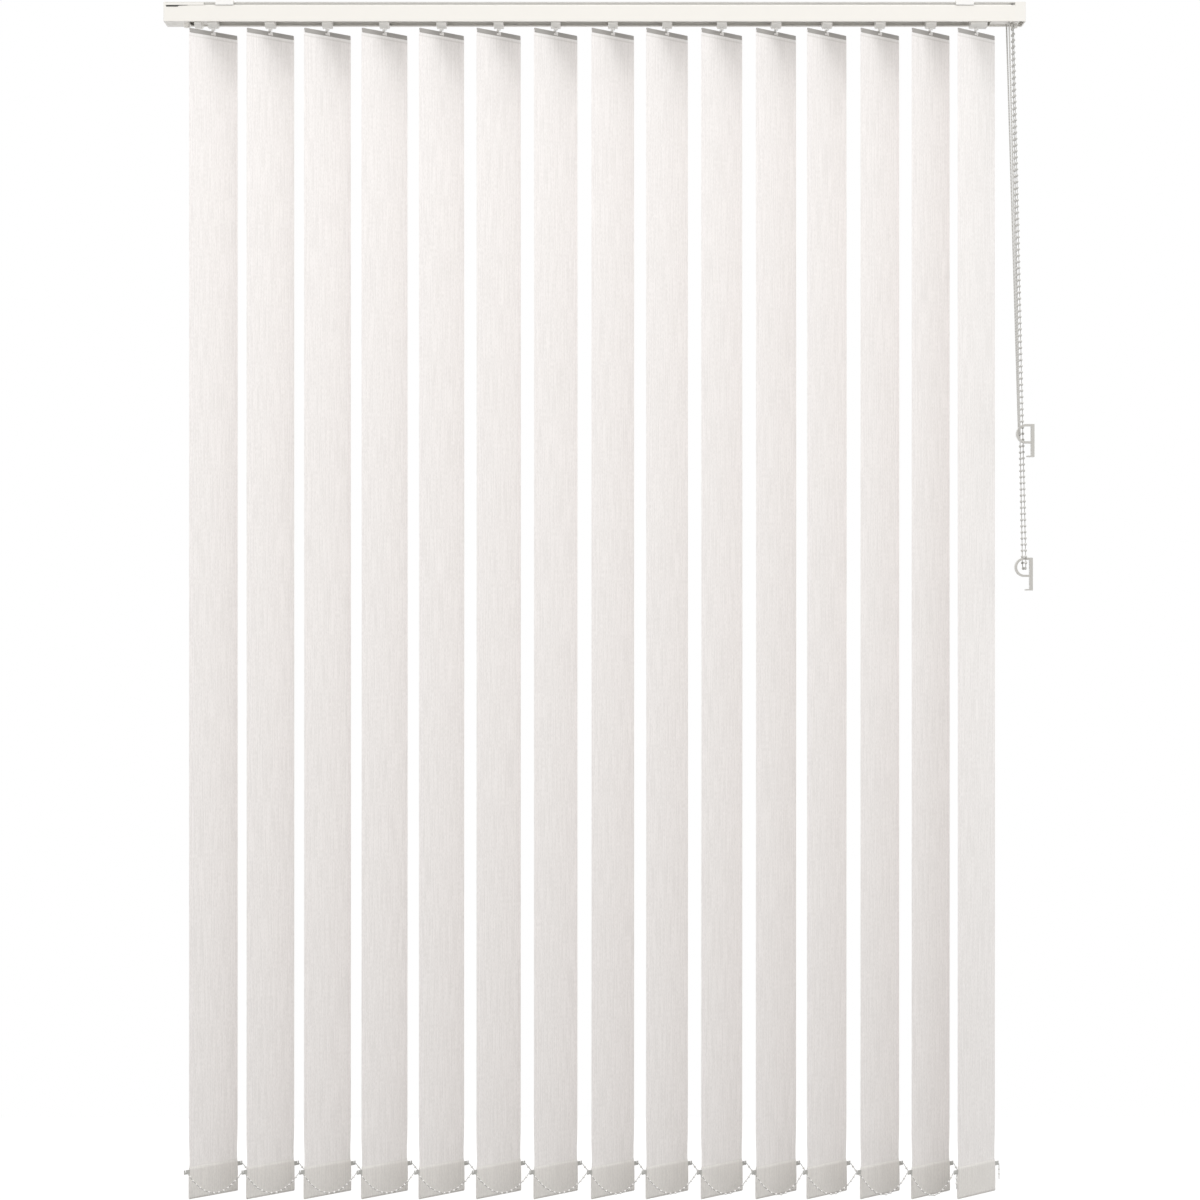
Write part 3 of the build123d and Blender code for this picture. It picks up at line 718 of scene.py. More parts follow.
@dataclass
class Vane:
    """One slat: its woven cloth, its hanger and its chain weight, on one carriage.

    The fields after the materials are sizes in metres, shares and counts, named for what they measure.

    Args:
        number: its place in the row, from the idle end.
        cloth_material: finish of the cloth.
        hanger_material: finish of the hanger.
        weight_material: finish of the weight.
    """

    number: int
    cloth_material: Material
    hanger_material: Material
    weight_material: Material
    width: float = 89.0 * MM
    thickness: float = 0.4 * MM
    cloth_drop: float = 2.6 * MM
    hanger_height: float = 6.0 * MM
    hanger_thickness: float = 1.6 * MM
    hanger_setback: float = 1.0 * MM
    hanger_edge: float = 0.3 * MM
    eye_width: float = 9.0 * MM
    eye_top: float = 1.8 * MM
    eye_height: float = 3.2 * MM
    pocket_half: float = 1.1 * MM
    pocket_flare: float = 3.0 * MM
    weight_thickness: float = 1.2 * MM
    weight_lift: float = 1.2 * MM
    weight_height: float = 40.0 * MM
    weight_setback: float = 2.5 * MM
    weight_edge: float = 0.35 * MM
    ear_reach: float = 9.0 * MM
    ear_height: float = 6.0 * MM
    ear_slot: Span = (3.3 * MM, 1.7 * MM)
    ear_slot_depth: float = 3.0 * MM
    bow: float = 0.9 * MM
    sway_share: float = 0.3
    sway_turn: float = 7.0
    pinch: float = 1.2 * MM
    pinch_span: float = 18.0 * MM
    pinch_place: float = 0.6
    crease: float = math.radians(50.0)
    columns: int = 25
    rows: int = 120
    pocket_rows: int = 30

    def __post_init__(self) -> None:
        """Read the slat's axis and its height from the frame."""
        self.tag = f"{self.number:02d}"
        self.body = f"vane_{self.tag}"
        low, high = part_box(f"slat_{self.tag}")
        self.top = high.z
        self.bottom = low.z
        axis = JOINTS[f"tilt_{self.tag}"]["pos_m"]
        self.axis = np.array([axis[0], axis[1], 0.0])

    def build(self) -> None:
        hanger = dress(self.hanger(), self.hanger_material, self.body)
        weight = dress(self.weight(), self.weight_material, self.body)
        cloth = dress(self.cloth(), self.cloth_material, self.body)
        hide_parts(f"slat_{self.tag}")
        log.info("slat %s: cloth, hanger and weight", self.tag)

    def placed(self, outline: np.ndarray, sides: np.ndarray) -> np.ndarray:
        """Outlines of (along the slat, height) at distances through it, in the frame."""
        return self.axis + outline[None, :, :1] * ALONG + outline[None, :, 1:] * UP + sides * THROUGH

    def cloth(self) -> Piece:
        """Cloth as a closed skin: down the front, round the fold, up the back.

        The half thickness is that of one layer, and grows to the pocket's over a short flare.
        The whole sheet bows by a sine of its height and a cosine of its width, nil where it is held.
        Its edges draw in a little just above the pocket, by a bell curve of the height.

        Returns:
            The piece, with a UV map in metres.
        """
        start = self.top - self.cloth_drop
        pocket_top = self.bottom + POCKET_HEIGHT
        fine = np.linspace(pocket_top + 2 * self.pocket_flare, self.bottom, self.pocket_rows)
        height = np.concatenate([np.linspace(start, fine[0], self.rows, endpoint=False), fine])
        flare = np.clip((pocket_top - height) / self.pocket_flare, 0.0, 1.0)
        fold = np.clip((height - self.bottom) / self.thickness / 2, 0.0, 1.0)
        half = (self.thickness / 2 + (self.pocket_half - self.thickness / 2) * flare) * np.sqrt(fold)
        share = np.clip((start - height) / (start - pocket_top), 0.0, 1.0)
        sway = 1.0 - self.sway_share + self.sway_share * np.sin(self.sway_turn * share + self.number)
        swell = self.bow * np.sin(np.pi * share) * sway
        draw = self.pinch * np.exp(-(((height - pocket_top) / self.pinch_span - self.pinch_place) ** 2))
        wide = np.linspace(-1.0, 1.0, self.columns)
        place = wide[None, :] * (self.width / 2 - draw[:, None])
        middle = swell[:, None] * (np.cos(np.pi * wide / 2.0)[None, :] - 0.5)
        through = middle[None] + BOTH_SIDES * half[None, :, None]
        heights = np.broadcast_to(height[None, :, None], through.shape)
        places = np.broadcast_to(place[None], through.shape)
        offset = places[..., None] * ALONG + through[..., None] * THROUGH
        points = self.axis + offset + heights[..., None] * UP
        skin = there_and_back(*points)
        count = len(skin)
        faces = grid_faces(count, self.columns, wrap_rows=True)[:, ::-1].tolist()
        for column, turn in ((0, 1), (self.columns - 1, -1)):
            near = np.arange(len(height)) * self.columns + column
            far = (count - 1 - np.arange(len(height))) * self.columns + column
            quads = np.stack([near[:-2], near[1:-1], far[1:-1], far[:-2]], -1)[:, ::-turn]
            faces += [*quads.tolist(), [near[-2], near[-1], far[-2]][::-turn]]
        piece = mesh_piece(f"slat_cloth_{self.tag}", skin.reshape(-1, 3), faces)
        piece.data.set_sharp_from_angle(angle=self.crease)
        down = there_and_back(self.top - height, self.top - height)
        patch = there_and_back(place, place) + self.number
        write_uv(piece, np.stack(np.broadcast_arrays(patch, down[:, None]), -1).reshape(-1, 2))
        return piece

    def hanger(self) -> Piece:
        """Hanger strip over the cloth's top: a bar with an eye cut out for the hook.

        Returns:
            The closed piece, made of two end bars and the bridges above and below the eye.
        """
        low = self.top - self.hanger_height
        eye_high = self.top - self.eye_top
        eye_low = eye_high - self.eye_height
        end = self.width / 2 - self.hanger_setback
        eye = self.eye_width / 2
        ring = [(-end, low), (end, low), (end, self.top), (-end, self.top)]
        hole = [(-eye, eye_low), (eye, eye_low), (eye, eye_high), (-eye, eye_high)]
        points = self.placed(np.array(ring + hole), BOTH_SIDES * self.hanger_thickness / 2)
        step = np.arange(4)
        turn = (step + 1) % 4
        front = np.stack([step, turn, turn + 4, step + 4], -1)
        back = front[:, ::-1] + 8
        outer = np.stack([step, step + 8, turn + 8, turn], -1)
        inner = np.stack([step + 4, turn + 4, turn + 12, step + 12], -1)
        faces = np.concatenate([front, back, outer, inner])
        piece = mesh_piece(f"slat_hanger_{self.tag}", points.reshape(-1, 3), faces, smooth=False)
        soften(piece, self.hanger_edge)
        return piece

    def weight(self) -> Piece:
        """Chain weight: a plate inside the pocket with a slotted ear at each upper corner.

        Returns:
            The closed plate.
        """
        low = self.bottom + self.weight_lift
        high = low + self.weight_height
        body = self.width / 2 - self.weight_setback
        tip = self.width / 2 + self.ear_reach
        inner, outer = (tip - edge for edge in self.ear_slot)
        under, seat = high - self.ear_height, high - self.ear_slot_depth
        right = [(body, low), (body, under), (tip, under), (tip, high)]
        right += [(outer, high), (outer, seat), (inner, seat), (inner, high)]
        outline = np.array(right + [(-place, height) for place, height in reversed(right)])
        sides = BOTH_SIDES[::-1] * self.weight_thickness / 2
        piece = prism(f"slat_weight_{self.tag}", self.placed(outline, sides))
        soften(piece, self.weight_edge)
        return piece


def bead_string(name: str, centres: np.ndarray, radius: float, sides: int = 8, rings: int = 6) -> Piece:
    """Round beads at given centres, each a small sphere of latitude rings.

    Args:
        name: the piece's name.
        centres: bead centres, three columns, metres.
        radius: bead radius, metres.
        sides: vertices round a ring.
        rings: rings from pole to pole.

    Returns:
        One piece that holds all the beads.
    """
    latitude = np.linspace(-math.pi / 2, math.pi / 2, rings + 2)[1:-1, None, None]
    level = np.broadcast_to(np.sin(latitude), (rings, sides, 1))
    shell = np.concatenate([np.cos(latitude) * circle(sides)[None], level], -1).reshape(-1, 3)
    ball = np.concatenate([shell, [[0.0, 0.0, -1.0], [0.0, 0.0, 1.0]]]) * radius
    quads = grid_faces(rings, sides, wrap_columns=True)
    step = np.arange(sides)
    turn = (step + 1) % sides
    last = (rings - 1) * sides
    south = np.stack([np.full(sides, len(shell)), turn, step], -1)
    north = np.stack([np.full(sides, len(shell) + 1), last + step, last + turn], -1)
    points = (centres[:, None, :] + ball[None]).reshape(-1, 3)
    shift = (np.arange(len(centres)) * len(ball))[:, None, None]
    faces = []
    for part in (quads, south, north):
        faces += (part[None] + shift).reshape(-1, part.shape[1]).tolist()
    return mesh_piece(name, points, faces)


def thread_tube(paths: list[np.ndarray], radius: float, sides: int = 6) -> tuple[np.ndarray, list]:
    """Thin tubes along several lines of points, none of which runs along Y.

    Each ring is a circle square to its line.

    Args:
        paths: lines of points, three columns, metres.
        radius: tube radius, metres.
        sides: vertices round a tube.

    Returns:
        Points and faces of all the tubes.
    """
    points, faces, start = [], [], 0
    for path in paths:
        tangent = np.gradient(path, axis=0)
        tangent /= np.linalg.norm(tangent, axis=1, keepdims=True)
        normal = np.cross(tangent, np.array([0.0, 1.0, 0.0]))
        normal /= np.linalg.norm(normal, axis=1, keepdims=True)
        axes = np.stack([np.cross(normal, tangent), normal], 1)
        points.append((path[:, None] + radius * (circle(sides) @ axes)).reshape(-1, 3))
        faces += [[start + number for number in face] for face in tube_faces(len(path), sides)]
        start += len(path) * sides
    return np.concatenate(points), faces


def evenly(path: np.ndarray, pitch: float, inset: float = 0.0) -> np.ndarray:
    """Points at an even pitch along a line, centred on it.

    Args:
        path: points of the line, metres.
        pitch: distance between neighbours along the line, metres.
        inset: length left free at each end, metres.

    Returns:
        The points, three columns.
    """
    run = np.concatenate([[0.0], np.cumsum(np.linalg.norm(np.diff(path, axis=0), axis=1))])
    count = int((run[-1] - 2 * inset) / pitch) + 1
    places = (run[-1] - (count - 1) * pitch) / 2 + np.arange(count) * pitch
    return np.stack([np.interp(places, run, path[:, axis]) for axis in range(3)], -1)


class Face(Enum):
    """Which edge of the slats a bottom chain joins: its word in names, and its sign along the slat."""

    FRONT = ("front", -1.0)
    BACK = ("back", 1.0)


@dataclass
class BottomChain:
    """Bead chain that links the slats' ears in short bows, with a tail at the last slat.

    Args:
        face: front or back edge.
        bead_material: finish of the beads.
        thread_material: finish of the thread.
        axes: places of the slats' axes along the rail, metres.
        ear: distance from a slat's axis to the chain's place in its ear, metres.
        length: length of a bow, metres.
        inset: distance along the rail from an ear's middle to the thread's end, metres.
        tail: length of the tail, metres.
        bead: radius of a bead, metres.
        bare: length without beads at each end of a bow, metres.
        pitch: distance between beads, metres.
        thread: radius of the thread, metres.
        stand_off: how far a bow stands off outwards between its ends, metres.
        stand_off_power: how sharply it turns outwards at its ends.
        points: points along a bow.
        tail_points: points along the tail.
        keep: not used.
    """

    face: Face
    bead_material: Material
    thread_material: Material
    axes: np.ndarray
    ear: float = 51.0 * MM
    length: float = 102.0 * MM
    inset: float = 2.3 * MM
    tail: float = 24.0 * MM
    bead: float = 1.55 * MM
    bare: float = 6.0 * MM
    pitch: float = 6.9 * MM
    thread: float = 0.45 * MM
    stand_off: float = 2.4 * MM
    stand_off_power: int = 8
    points: int = 33
    tail_points: int = 9
    keep: float = 0.26

    def build(self) -> None:
        """Make the bows as parabolas of fixed length and string the beads along them.

        A bow's length is its span and eight thirds of its squared sag over the span, which gives the sag.
        Between its ends each bow stands off outwards, so that its beads clear the cloth of closed slats.
        """
        word, sign = self.face.value
        node = f"bottom_chain_{word}"
        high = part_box(node)[1].z - self.thread
        offset = sign * self.ear * ALONG
        share = np.linspace(-1.0, 1.0, self.points)
        across = offset[1] + sign * self.stand_off * (1 - share**self.stand_off_power)
        paths = []
        for left, right in zip(self.axes, self.axes[1:]):
            span = right - left - 2 * self.inset
            sag = math.sqrt(3.0 * span * (self.length - span) / 8.0)
            places = (left + right) / 2 + offset[0] + share * span / 2
            paths.append(np.stack([places, across, high - sag * (1 - share**2)], -1))
        drop = np.linspace(0.0, self.tail - self.bead, self.tail_points)
        end = self.axes[-1] + offset[0] + self.inset
        paths.append(np.stack([np.full_like(drop, end), np.full_like(drop, offset[1]), high - drop], -1))
        centres = np.concatenate([evenly(path, self.pitch, self.bare) for path in paths])
        strings = mesh_piece(f"link_thread_{word}", *thread_tube(paths, self.thread))
        beads = bead_string(f"link_beads_{word}", centres, self.bead)
        anchor = (self.axes[-1] + offset[0], offset[1], high)
        for piece, material in ((strings, self.thread_material), (beads, self.bead_material)):
            dress(piece, material, f"link_chain_{word}")
            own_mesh(piece)
        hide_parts(node)
        log.info("bottom chain %s: %d beads", word, len(centres))


def route_curve(name: str, route: list[Point], radius: float, steps: int = 24) -> Piece:
    """Smooth cord along a route: a quadratic NURBS with the route's points as control points.

    Args:
        name: the piece's name.
        route: control points, metres.
        radius: the cord's radius, metres; zero leaves a bare line.
        steps: points between two control points.

    Returns:
        The curve object.
    """
    curve = bpy.data.curves.new(name, "CURVE")
    curve.dimensions = "3D"
    curve.resolution_u = steps
    curve.bevel_depth = radius
    curve.bevel_resolution = 2
    curve.use_fill_caps = True
    spline = curve.splines.new("NURBS")
    spline.points.add(len(route) - 1)
    spline.points.foreach_set("co", np.array([(*point, 1.0) for point in route], np.float32).ravel())
    spline.order_u = 3
    spline.use_endpoint_u = True
    return new_object(name, curve)


def route_points(route: list[Point]) -> np.ndarray:
    """Read the points of a route's own NURBS line.

    Args:
        route: control points, metres.

    Returns:
        The points in order, three columns, metres.
    """
    line = route_curve("route_line", route, 0.0)
    mesh = shown_mesh(line)
    points = mesh_points(mesh).astype(float)
    bpy.data.meshes.remove(mesh)
    bpy.data.objects.remove(line)
    return points


def along(start: Point, end: Point, distance: float) -> Point:
    """Point on the run from start to end, at a distance from start."""
    first, last = Vector(start), Vector(end)
    return tuple(first + (last - first).normalized() * distance)


@dataclass
class Controls:
    """Traverse cord with its run inside the rail, and the bead chain that turns the tilt rod.

    The fields after the materials are places and sizes in metres, as in the CAD routes.

    Args:
        cord_material: finish of the cord.
        bead_material: finish of the chain's beads.
        thread_material: finish of the chain's thread.
    """

    cord_material: Material
    bead_material: Material
    thread_material: Material
    cord_radius: float = 1.1 * MM
    cord_height: float = -13.5 * MM
    cord_offset: float = 14.0 * MM
    cord_place: float = 577.0 * MM
    lead_in: float = 8.0 * MM
    pulley_place: float = -570.0 * MM
    near: float = 13.0 * MM
    loop_low: float = -607.0 * MM
    loop_place: float = 592.5 * MM
    loop_sides: Span = (-15.5 * MM, -2.5 * MM)
    cord_length: float = 1.206
    run_length: float = 2.322
    chain_place: float = 585.0 * MM
    chain_top: float = -12.656 * MM
    chain_sides: Span = (0.656 * MM, 14.344 * MM)
    chain_seam: Span = (7.25 * MM, 7.75 * MM)
    chain_low: float = -793.0 * MM
    chain_loop_places: Span = (603.0 * MM, 600.0 * MM)
    chain_loop_sides: Span = (1.0 * MM, 14.0 * MM)
    chain_length: float = 1.576
    thread: float = 0.5 * MM
    bead: float = 2.1 * MM
    bead_sides: int = 10
    bead_rings: int = 7
    pitch: float = 8.6 * MM

    def build(self) -> None:
        self.run()
        self.cord()
        self.chain()

    def run(self) -> None:
        """Cord inside the rail: along the front, round the idle pulley and back."""
        wide, high = self.cord_offset, self.cord_height
        turn = self.pulley_place - wide
        places = [self.cord_place - self.lead_in, self.pulley_place + self.near, self.pulley_place, turn]
        route = [(place, -wide, high) for place in places]
        route += [(place, wide, high) for place in reversed(places)]
        piece = route_curve("traverse_line_inside", route, self.cord_radius)
        self._declare(piece, "traverse_cord_run", self.run_length)

    def cord(self) -> None:
        """Cord outside the rail: over a guide, down to the upper clip, and back over the other guide."""
        start, high, wide = self.cord_place - self.lead_in, self.cord_height, self.cord_offset
        corners = [(self.cord_place, -wide, high), (self.loop_place, self.loop_sides[0], self.loop_low)]
        corners += [(self.loop_place, self.loop_sides[1], self.loop_low), (self.cord_place, wide, high)]
        route = self._loop((start, -wide, high), corners, (start, wide, high))
        piece = route_curve("traverse_line", route, self.cord_radius)
        self._declare(piece, "traverse_cord", self.cord_length)

    def chain(self) -> None:
        """Bead chain: a thread over the wheel and through the lower clip, with beads at an even pitch."""
        top, low = self.chain_top, self.chain_low
        fore, aft = zip(self.chain_loop_places, self.chain_loop_sides)
        corners = [(self.chain_place, self.chain_sides[0], top), (*fore, low)]
        corners += [(*aft, low), (self.chain_place, self.chain_sides[1], top)]
        first, last = ((self.chain_place, side, top) for side in self.chain_seam)
        route = self._loop(first, corners, last)
        thread = route_curve("tilt_thread", route, self.thread)
        centres = evenly(route_points(route), self.pitch)
        beads = bead_string("tilt_beads", centres, self.bead, self.bead_sides, self.bead_rings)
        dress(beads, self.bead_material, "rail")
        dress(thread, self.thread_material, "rail")
        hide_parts("tilt_chain")
        2 * self.thread
        log.info("tilt chain: thread and beads")

    def _loop(self, first: Point, corners: list[Point], last: Point) -> list[Point]:
        """Route of a hanging loop: its corners, with one more point near each end of both long runs.

        Args:
            first: where the loop begins, metres.
            corners: top and foot of the run down, then foot and top of the run up, metres.
            last: where the loop ends, metres.

        Returns:
            The control points in order.
        """
        down = [along(corners[0], corners[1], self.near), along(corners[1], corners[0], self.near)]
        up = [along(corners[2], corners[3], self.near), along(corners[3], corners[2], self.near)]
        return [first, corners[0], *down, corners[1], corners[2], *up, corners[3], last]

    def _declare(self, piece: Piece, node: str, length: float) -> None:
        """Args:
            piece: the cord.
            node: the CAD node that it replaces.
            length: its real length, metres.
        """
        dress(piece, self.cord_material, "rail")
        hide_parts(node)
        2 * self.cord_radius
        log.info("%s: %.3f m", node, length)


@dataclass
class WallClip:
    """P-shaped clip bent from one plastic strip, with a screw hole in its wall plate.

    Args:
        node: the CAD node that it replaces.
        material: finish of the plastic.
        strip: thickness of the strip round the eye, metres.
        plate: thickness of the wall plate, metres.
        bowl_height: outer height of the bowl, metres.
        foot: how far the foot stands out from the plate, metres.
        foot_height: thickness of the foot, metres.
        hole: radius of the screw hole, metres.
        hole_height: height of the hole above the clip's lowest edge, metres.
        edge: rounding of its edges, metres.
        bowl_steps: points round the bowl.
        hole_steps: points round the hole.
    """

    node: str
    material: Material
    strip: float = 3.0 * MM
    plate: float = 4.4 * MM
    bowl_height: float = 27.0 * MM
    foot: float = 6.0 * MM
    foot_height: float = 2.0 * MM
    hole: float = 2.0 * MM
    hole_height: float = 9.5 * MM
    edge: float = 0.5 * MM
    bowl_steps: int = 40
    hole_steps: int = 28

    def build(self) -> None:
        """Make the clip's outline with its eye, give it width, drill the plate and round its edges."""
        low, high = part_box(self.node)
        piece = self.body(low, high)
        self.drill(piece, low, high)
        soften(piece, self.edge, segments=3)
        dress(piece, self.material, "rail")
        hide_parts(self.node)
        log.info("%s: strip with its eye", self.node)

    def body(self, low: Vector, high: Vector) -> Piece:
        """Outline of a P: half circle, two straight runs, plate and foot, with the eye as an inner ring.

        Args:
            low: lowest corner of the CAD node.
            high: highest corner of the CAD node.

        Returns:
            The clip without its screw hole.
        """
        radius = self.bowl_height / 2
        centre = np.array([low.x + radius, high.z - radius])
        turn = np.linspace(0.5 * math.pi, 1.5 * math.pi, self.bowl_steps)
        bowl = np.stack([np.cos(turn), np.sin(turn)], -1)
        inside, foot_end = high.x - self.plate, high.x - self.plate - self.foot
        foot_top, under = low.z + self.foot_height, centre[1] - radius
        tail = [(inside, under), (inside, foot_top), (foot_end, foot_top), (foot_end, low.z), (high.x, low.z)]
        outer = np.concatenate([[(high.x, high.z)], centre + radius * bowl, tail])
        eye_radius = radius - self.strip
        eye_end = [(inside, centre[1] - eye_radius), (inside, centre[1] + eye_radius)]
        eye = np.concatenate([centre + eye_radius * bowl, eye_end])
        curve = bpy.data.curves.new("clip_outline", "CURVE")
        curve.dimensions = "2D"
        curve.fill_mode = "BOTH"
        curve.extrude = (high.y - low.y) / 2
        for ring in (outer, eye):
            spline = curve.splines.new("POLY")
            spline.points.add(len(ring) - 1)
            flat = np.concatenate([ring, np.zeros((len(ring), 1)), np.ones((len(ring), 1))], 1)
            spline.points.foreach_set("co", flat.astype(np.float32).ravel())
            spline.use_cyclic_u = True
        drawn = new_object("clip_outline", curve)
        mesh = shown_mesh(drawn)
        bpy.data.objects.remove(drawn)
        flat = mesh_points(mesh)
        placed = np.stack([flat[:, 0], (low.y + high.y) / 2 - flat[:, 2], flat[:, 1]], -1)
        mesh.vertices.foreach_set("co", placed.ravel())
        mesh.update()
        piece = new_object(f"{self.node}_strip", mesh)
        merge_doubles(piece)
        return piece

    def drill(self, piece: Piece, low: Vector, high: Vector) -> None:
        """Cut the screw hole through the plate with a round cutter, and keep the result as the mesh.

        Args:
            piece: the clip.
            low: lowest corner of the CAD node.
            high: highest corner of the CAD node.
        """
        centre = np.array([high.x - self.plate / 2, (low.y + high.y) / 2, low.z + self.hole_height])
        ring = np.insert(circle(self.hole_steps), 0, 0.0, axis=1) * self.hole
        cutter = prism("hole_cutter", centre + ring[None] + BOTH_SIDES * np.array([self.plate, 0.0, 0.0]))
        cut = piece.modifiers.new("hole", "BOOLEAN")
        cut.object = cutter
        cut.operation = "DIFFERENCE"
        drilled = shown_mesh(piece)
        piece.modifiers.clear()
        piece.data = drilled
        bpy.data.objects.remove(cutter)


@dataclass
class RailWork:
    """CAD nodes of the rail and its carriages, which keep their shapes and get their finishes here.

    Args:
        finishes: finish of each node by its name.
        prefixes: finish of the nodes whose names begin so.
    """

    finishes: dict[str, Moulding] = field(
        default_factory=lambda: {
            "headrail": RAIL_WHITE,
            "control_end_housing": CAP_WHITE,
            "idle_end_cap": CAP_WHITE,
            "ceiling_bracket_left": BRACKET_WHITE,
            "ceiling_bracket_right": BRACKET_WHITE,
            "tilt_rod": ROD_BARE,
            "chain_wheel": CAP_WHITE,
            "idle_pulley": CAP_WHITE,
        }
    )
    prefixes: dict[str, Moulding] = field(
        default_factory=lambda: {"runner_": RUNNER_WHITE, "stem_": STEM_WHITE}
    )

    def build(self) -> None:
        """Dress each node with the finish of its name or of its prefix."""
        made: dict[str, Material] = {}
        for name, node in NODES.items():
            finish = self.finishes.get(name)
            for prefix, shared in self.prefixes.items():
                finish = shared if name.startswith(prefix) else finish
            if finish is None:
                continue
            if finish.name not in made:
                made[finish.name] = finish.make()
            node.data.materials.clear()
            node.data.materials.append(made[finish.name])
        log.info("rail and carriages: %d finishes", len(made))


@dataclass
class RailShadowSlabsAndPins:
    """Dark pieces of the rail: a slab of painted shadow in the slit under each idle tongue, and a pin at the
    far end of each of the rail's grooves.

    Args:
        shadow_slab_material: finish of the slabs of painted shadow.
        pin_material: finish of the pins.
        shadow_slab: outline of a slab of painted shadow along the rail and in height, metres.
        shadow_slab_depth: distances from the rail's middle that a slab of painted shadow spans, metres.
        pin: place along the rail and height of a pin's axis, metres.
        pin_radius: radius of a pin, metres.
        pin_depth: distances from the rail's middle that a pin spans, metres.
        pin_steps: points round a pin.
        edge: rounding of their edges, metres.
    """

    shadow_slab_material: Material
    pin_material: Material
    shadow_slab: tuple[Span, ...] = (
        (-596.0 * MM, -11.0 * MM),
        (-580.5 * MM, -11.0 * MM),
        (-578.0 * MM, -9.7 * MM),
        (-566.0 * MM, -8.9 * MM),
        (-566.0 * MM, -8.65 * MM),
        (-596.0 * MM, -8.65 * MM),
    )
    shadow_slab_depth: Span = (22.2 * MM, 23.25 * MM)
    pin: Span = (581.0 * MM, -7.0 * MM)
    pin_radius: float = 1.5 * MM
    pin_depth: Span = (19.7 * MM, 22.3 * MM)
    pin_steps: int = 20
    edge: float = 0.12 * MM

    def build(self) -> None:
        """Make a slab of painted shadow and a pin on each side of the rail."""
        ring = np.array(self.pin) + self.pin_radius * circle(self.pin_steps)
        for word, side in (("front", -1.0), ("back", 1.0)):
            # slab of painted shadow where the slit under the idle tongue falls into shade
            shadow_slab = self.slab(f"idle_painted_shadow_{word}", np.array(self.shadow_slab), side, self.shadow_slab_depth)
            dress(shadow_slab, self.shadow_slab_material, "rail")
            pin = self.slab(f"groove_pin_{word}", ring, side, self.pin_depth)
            dress(pin, self.pin_material, "rail")
        # the catches in this message are the slabs of painted shadow
        log.info("rail trim: two catches and two pins")

    def slab(self, name: str, outline: np.ndarray, side: float, depth: Span) -> Piece:
        """Carry an outline of (along, height) through a depth on one side of the rail.

        Args:
            name: the piece's name.
            outline: corner points, two columns, metres.
            side: minus one for the rail's front, one for its back.
            depth: distances from the rail's middle, metres.

        Returns:
            The closed piece.
        """
        piece = prism(name, np.stack([np.insert(outline, 1, side * level, axis=1) for level in depth]))
        merge_doubles(piece)
        soften(piece, self.edge)
        return piece


@dataclass(frozen=True)
class Lamp:
    """Rectangular studio lamp.

    Args:
        name: its name.
        place: where it stands, metres.
        aim: the point that it faces, metres.
        size: its two sides, metres.
        power: its power, watts.
    """

    name: str
    place: Point
    aim: Point
    size: Span
    power: float

    def build(self) -> None:
        """Make the lamp and turn it to its aim."""
        data = bpy.data.lights.new(self.name, "AREA")
        data.shape = "RECTANGLE"
        data.size, data.size_y = self.size
        data.energy = self.power
        lamp = new_object(self.name, data)
        lamp.location = self.place
        lamp.rotation_mode = "QUATERNION"
        lamp.rotation_quaternion = (Vector(self.aim) - Vector(self.place)).to_track_quat("-Z", "Y")


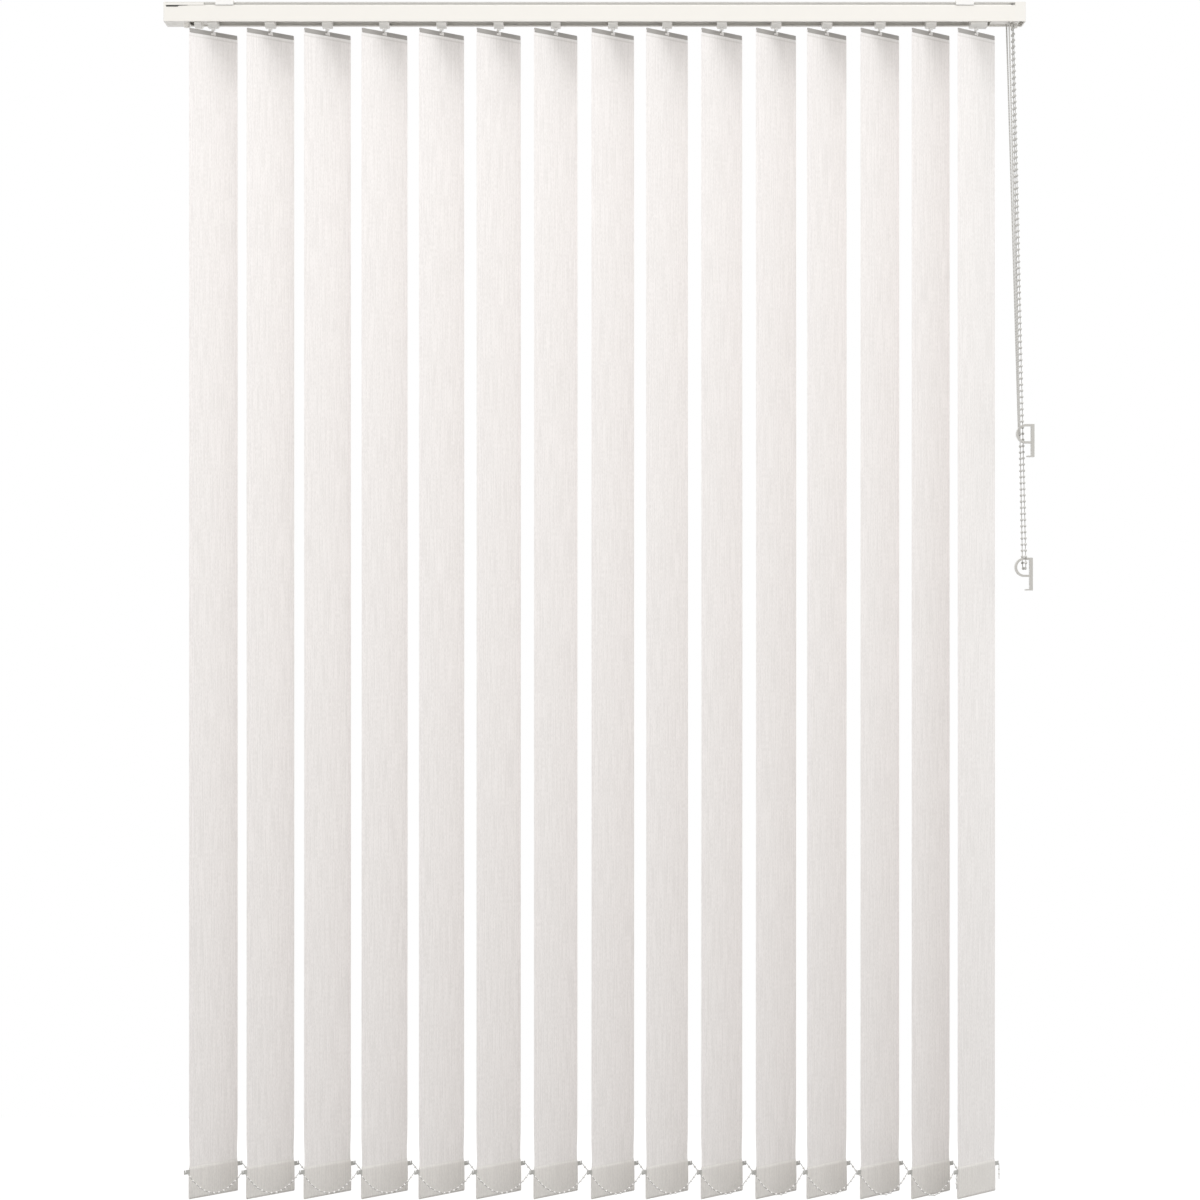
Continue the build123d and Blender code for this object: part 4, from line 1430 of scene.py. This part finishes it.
@dataclass
class Studio:
    """Plain pale studio: floor, soft lamps, white surroundings and the photograph's camera.

    Args:
        image: width of the photograph, pixels.
        scale: its pixels per metre at the rail's front.
        distance: from the camera to the rail's front, metres.
        centre: place along the rail and height that the camera faces, metres.
        sensor: width of the camera's sensor, millimetres.
        far: how far the camera sees, metres.
        lamps: one large lamp high in front, so that all slats get the same light, and a weak strip behind.
        sky: colour of the surroundings' light, linear.
        sky_strength: strength of that light.
        floor_drop: distance from the blind's foot to the floor, metres.
        floor_half: half of the floor's side, metres.
        floor_dull: colour with which the floor lights the blind, linear.
        floor_pale: colour in which the viewer sees it, linear.
        floor_white: share of plain white in what the viewer sees.
    """

    image: float = 1200.0
    scale: float = 719.0
    distance: float = 4.44
    centre: Span = (0.0074, -0.8363)
    sensor: float = 36.0
    far: float = 100.0
    lamps: tuple[Lamp, ...] = (
        Lamp("front_lamp", (0.6, -2.1, 5.4), (0.6, 0.0, -0.5), (1.6, 4.6), 178.0),
        Lamp("back_lamp", (-1.2, 2.2, 0.3), (-1.2, 0.0, -0.8), (5.0, 0.8), 10.0),
    )
    sky: Colour = (1.0, 0.99, 0.975)
    sky_strength: float = 1.02
    floor_drop: float = 0.25
    floor_half: float = 2.2
    floor_dull: Colour = (0.24, 0.235, 0.23)
    floor_pale: Colour = (0.9, 0.9, 0.9)
    floor_white: float = 0.6

    def build(self) -> None:
        """Make everything that isn't part of the object."""
        bpy.context.scene.view_settings.view_transform = "Standard"
        self.camera()
        for lamp in self.lamps:
            lamp.build()
        self.surroundings()
        self.floor()

    def camera(self) -> None:
        """Camera square to the rail; its lens gives the photograph's scale at the rail's front."""
        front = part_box("headrail")[0].y
        data = bpy.data.cameras.new("photo_camera")
        data.sensor_width = self.sensor
        data.lens = self.scale * self.distance / self.image * self.sensor
        data.clip_end = self.far
        camera = new_object("photo_camera", data)
        camera.location = (self.centre[0], front - self.distance, self.centre[1])
        camera.rotation_euler = (math.pi / 2, 0.0, 0.0)
        bpy.context.scene.camera = camera

    def surroundings(self) -> None:
        """World that lights softly and shows white to the camera, in reflections and through glass."""
        shader = Shader("studio_world", world=True)
        soft = shader.node("ShaderNodeBackground", inputs={"Color": self.sky, "Strength": self.sky_strength})
        white = shader.node("ShaderNodeBackground", inputs={"Color": WHITE, "Strength": 1.0})
        bpy.context.scene.world = shader.finish(shader.blend(shader.shown(), soft, white))

    def floor(self) -> None:
        """Pale floor under the blind that shows nearly white and keeps a faint shadow."""
        level = CAD_BOX[0].z - self.floor_drop
        corners = [(across, deep, level) for across, deep in ((-1, -1), (1, -1), (1, 1), (-1, 1))]
        points = np.array(corners) * (self.floor_half, self.floor_half, 1.0)
        floor = mesh_piece("studio_floor", points, [(0, 1, 2, 3)], smooth=False)
        shader = Shader("studio_floor")
        dull = shader.node("ShaderNodeBsdfDiffuse", inputs={"Color": self.floor_dull})
        pale = shader.node("ShaderNodeBsdfDiffuse", inputs={"Color": self.floor_pale})
        white = shader.node("ShaderNodeEmission", inputs={"Color": WHITE, "Strength": 1.0})
        seen = shader.blend(self.floor_white, pale, white)
        floor.data.materials.append(shader.finish(shader.blend(shader.shown(), dull, seen)))


def main() -> None:
    """Build the studio, then every sub-assembly in order, and report each."""
    Studio().build()
    slat_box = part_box("slat_01")
    cloth = SlatCloth(
        "slat_weave",
        thread=(0.965, 0.942, 0.933),
        slub=(0.865, 0.843, 0.832),
        doubled=(0.765, 0.745, 0.73),
        # pocket colours: partly the weight under two layers, partly painted shade
        pocket_thread_and_shade=(0.86, 0.84, 0.81),
        pocket_slub_and_shade=(0.78, 0.76, 0.735),
        pocket=slat_box[1].z - slat_box[0].z - POCKET_HEIGHT,
        weld=10.5 * MM,
        fold=7.4 * MM,
    ).make()
    bead, link, thread = BEAD_WHITE.make(), LINK_WHITE.make(), THREAD_GREY.make()
    # yarn colour, and the painted shade between the yarns
    yarn, gap_painted_shade = (0.70, 0.695, 0.675), (0.46, 0.455, 0.44)
    cord = BraidedCord("braided_cord", yarn, gap_painted_shade, turns=4.0, along=400.0).make()
    Controls(cord, bead, thread).build()
    RailWork().build()
    RailShadowSlabsAndPins(PAINTED_SHADOW_DARK.make(), PIN_GREY.make()).build()
    count = sum(name.startswith("slat_") for name in NODES)
    hanger, weight = HANGER_GREY.make(), WEIGHT_GREY.make()
    vanes = [Vane(number, cloth, hanger, weight) for number in range(1, count + 1)]
    for vane in vanes:
        vane.build()
    axes = np.array([vane.axis[0] for vane in vanes])
    for face in Face:
        BottomChain(face, link, thread, axes).build()
    clip = CLIP_WHITE.make()
    for node in ("cord_clip", "chain_clip"):
        WallClip(node, clip).build()


if __name__ == "__main__":
    main()
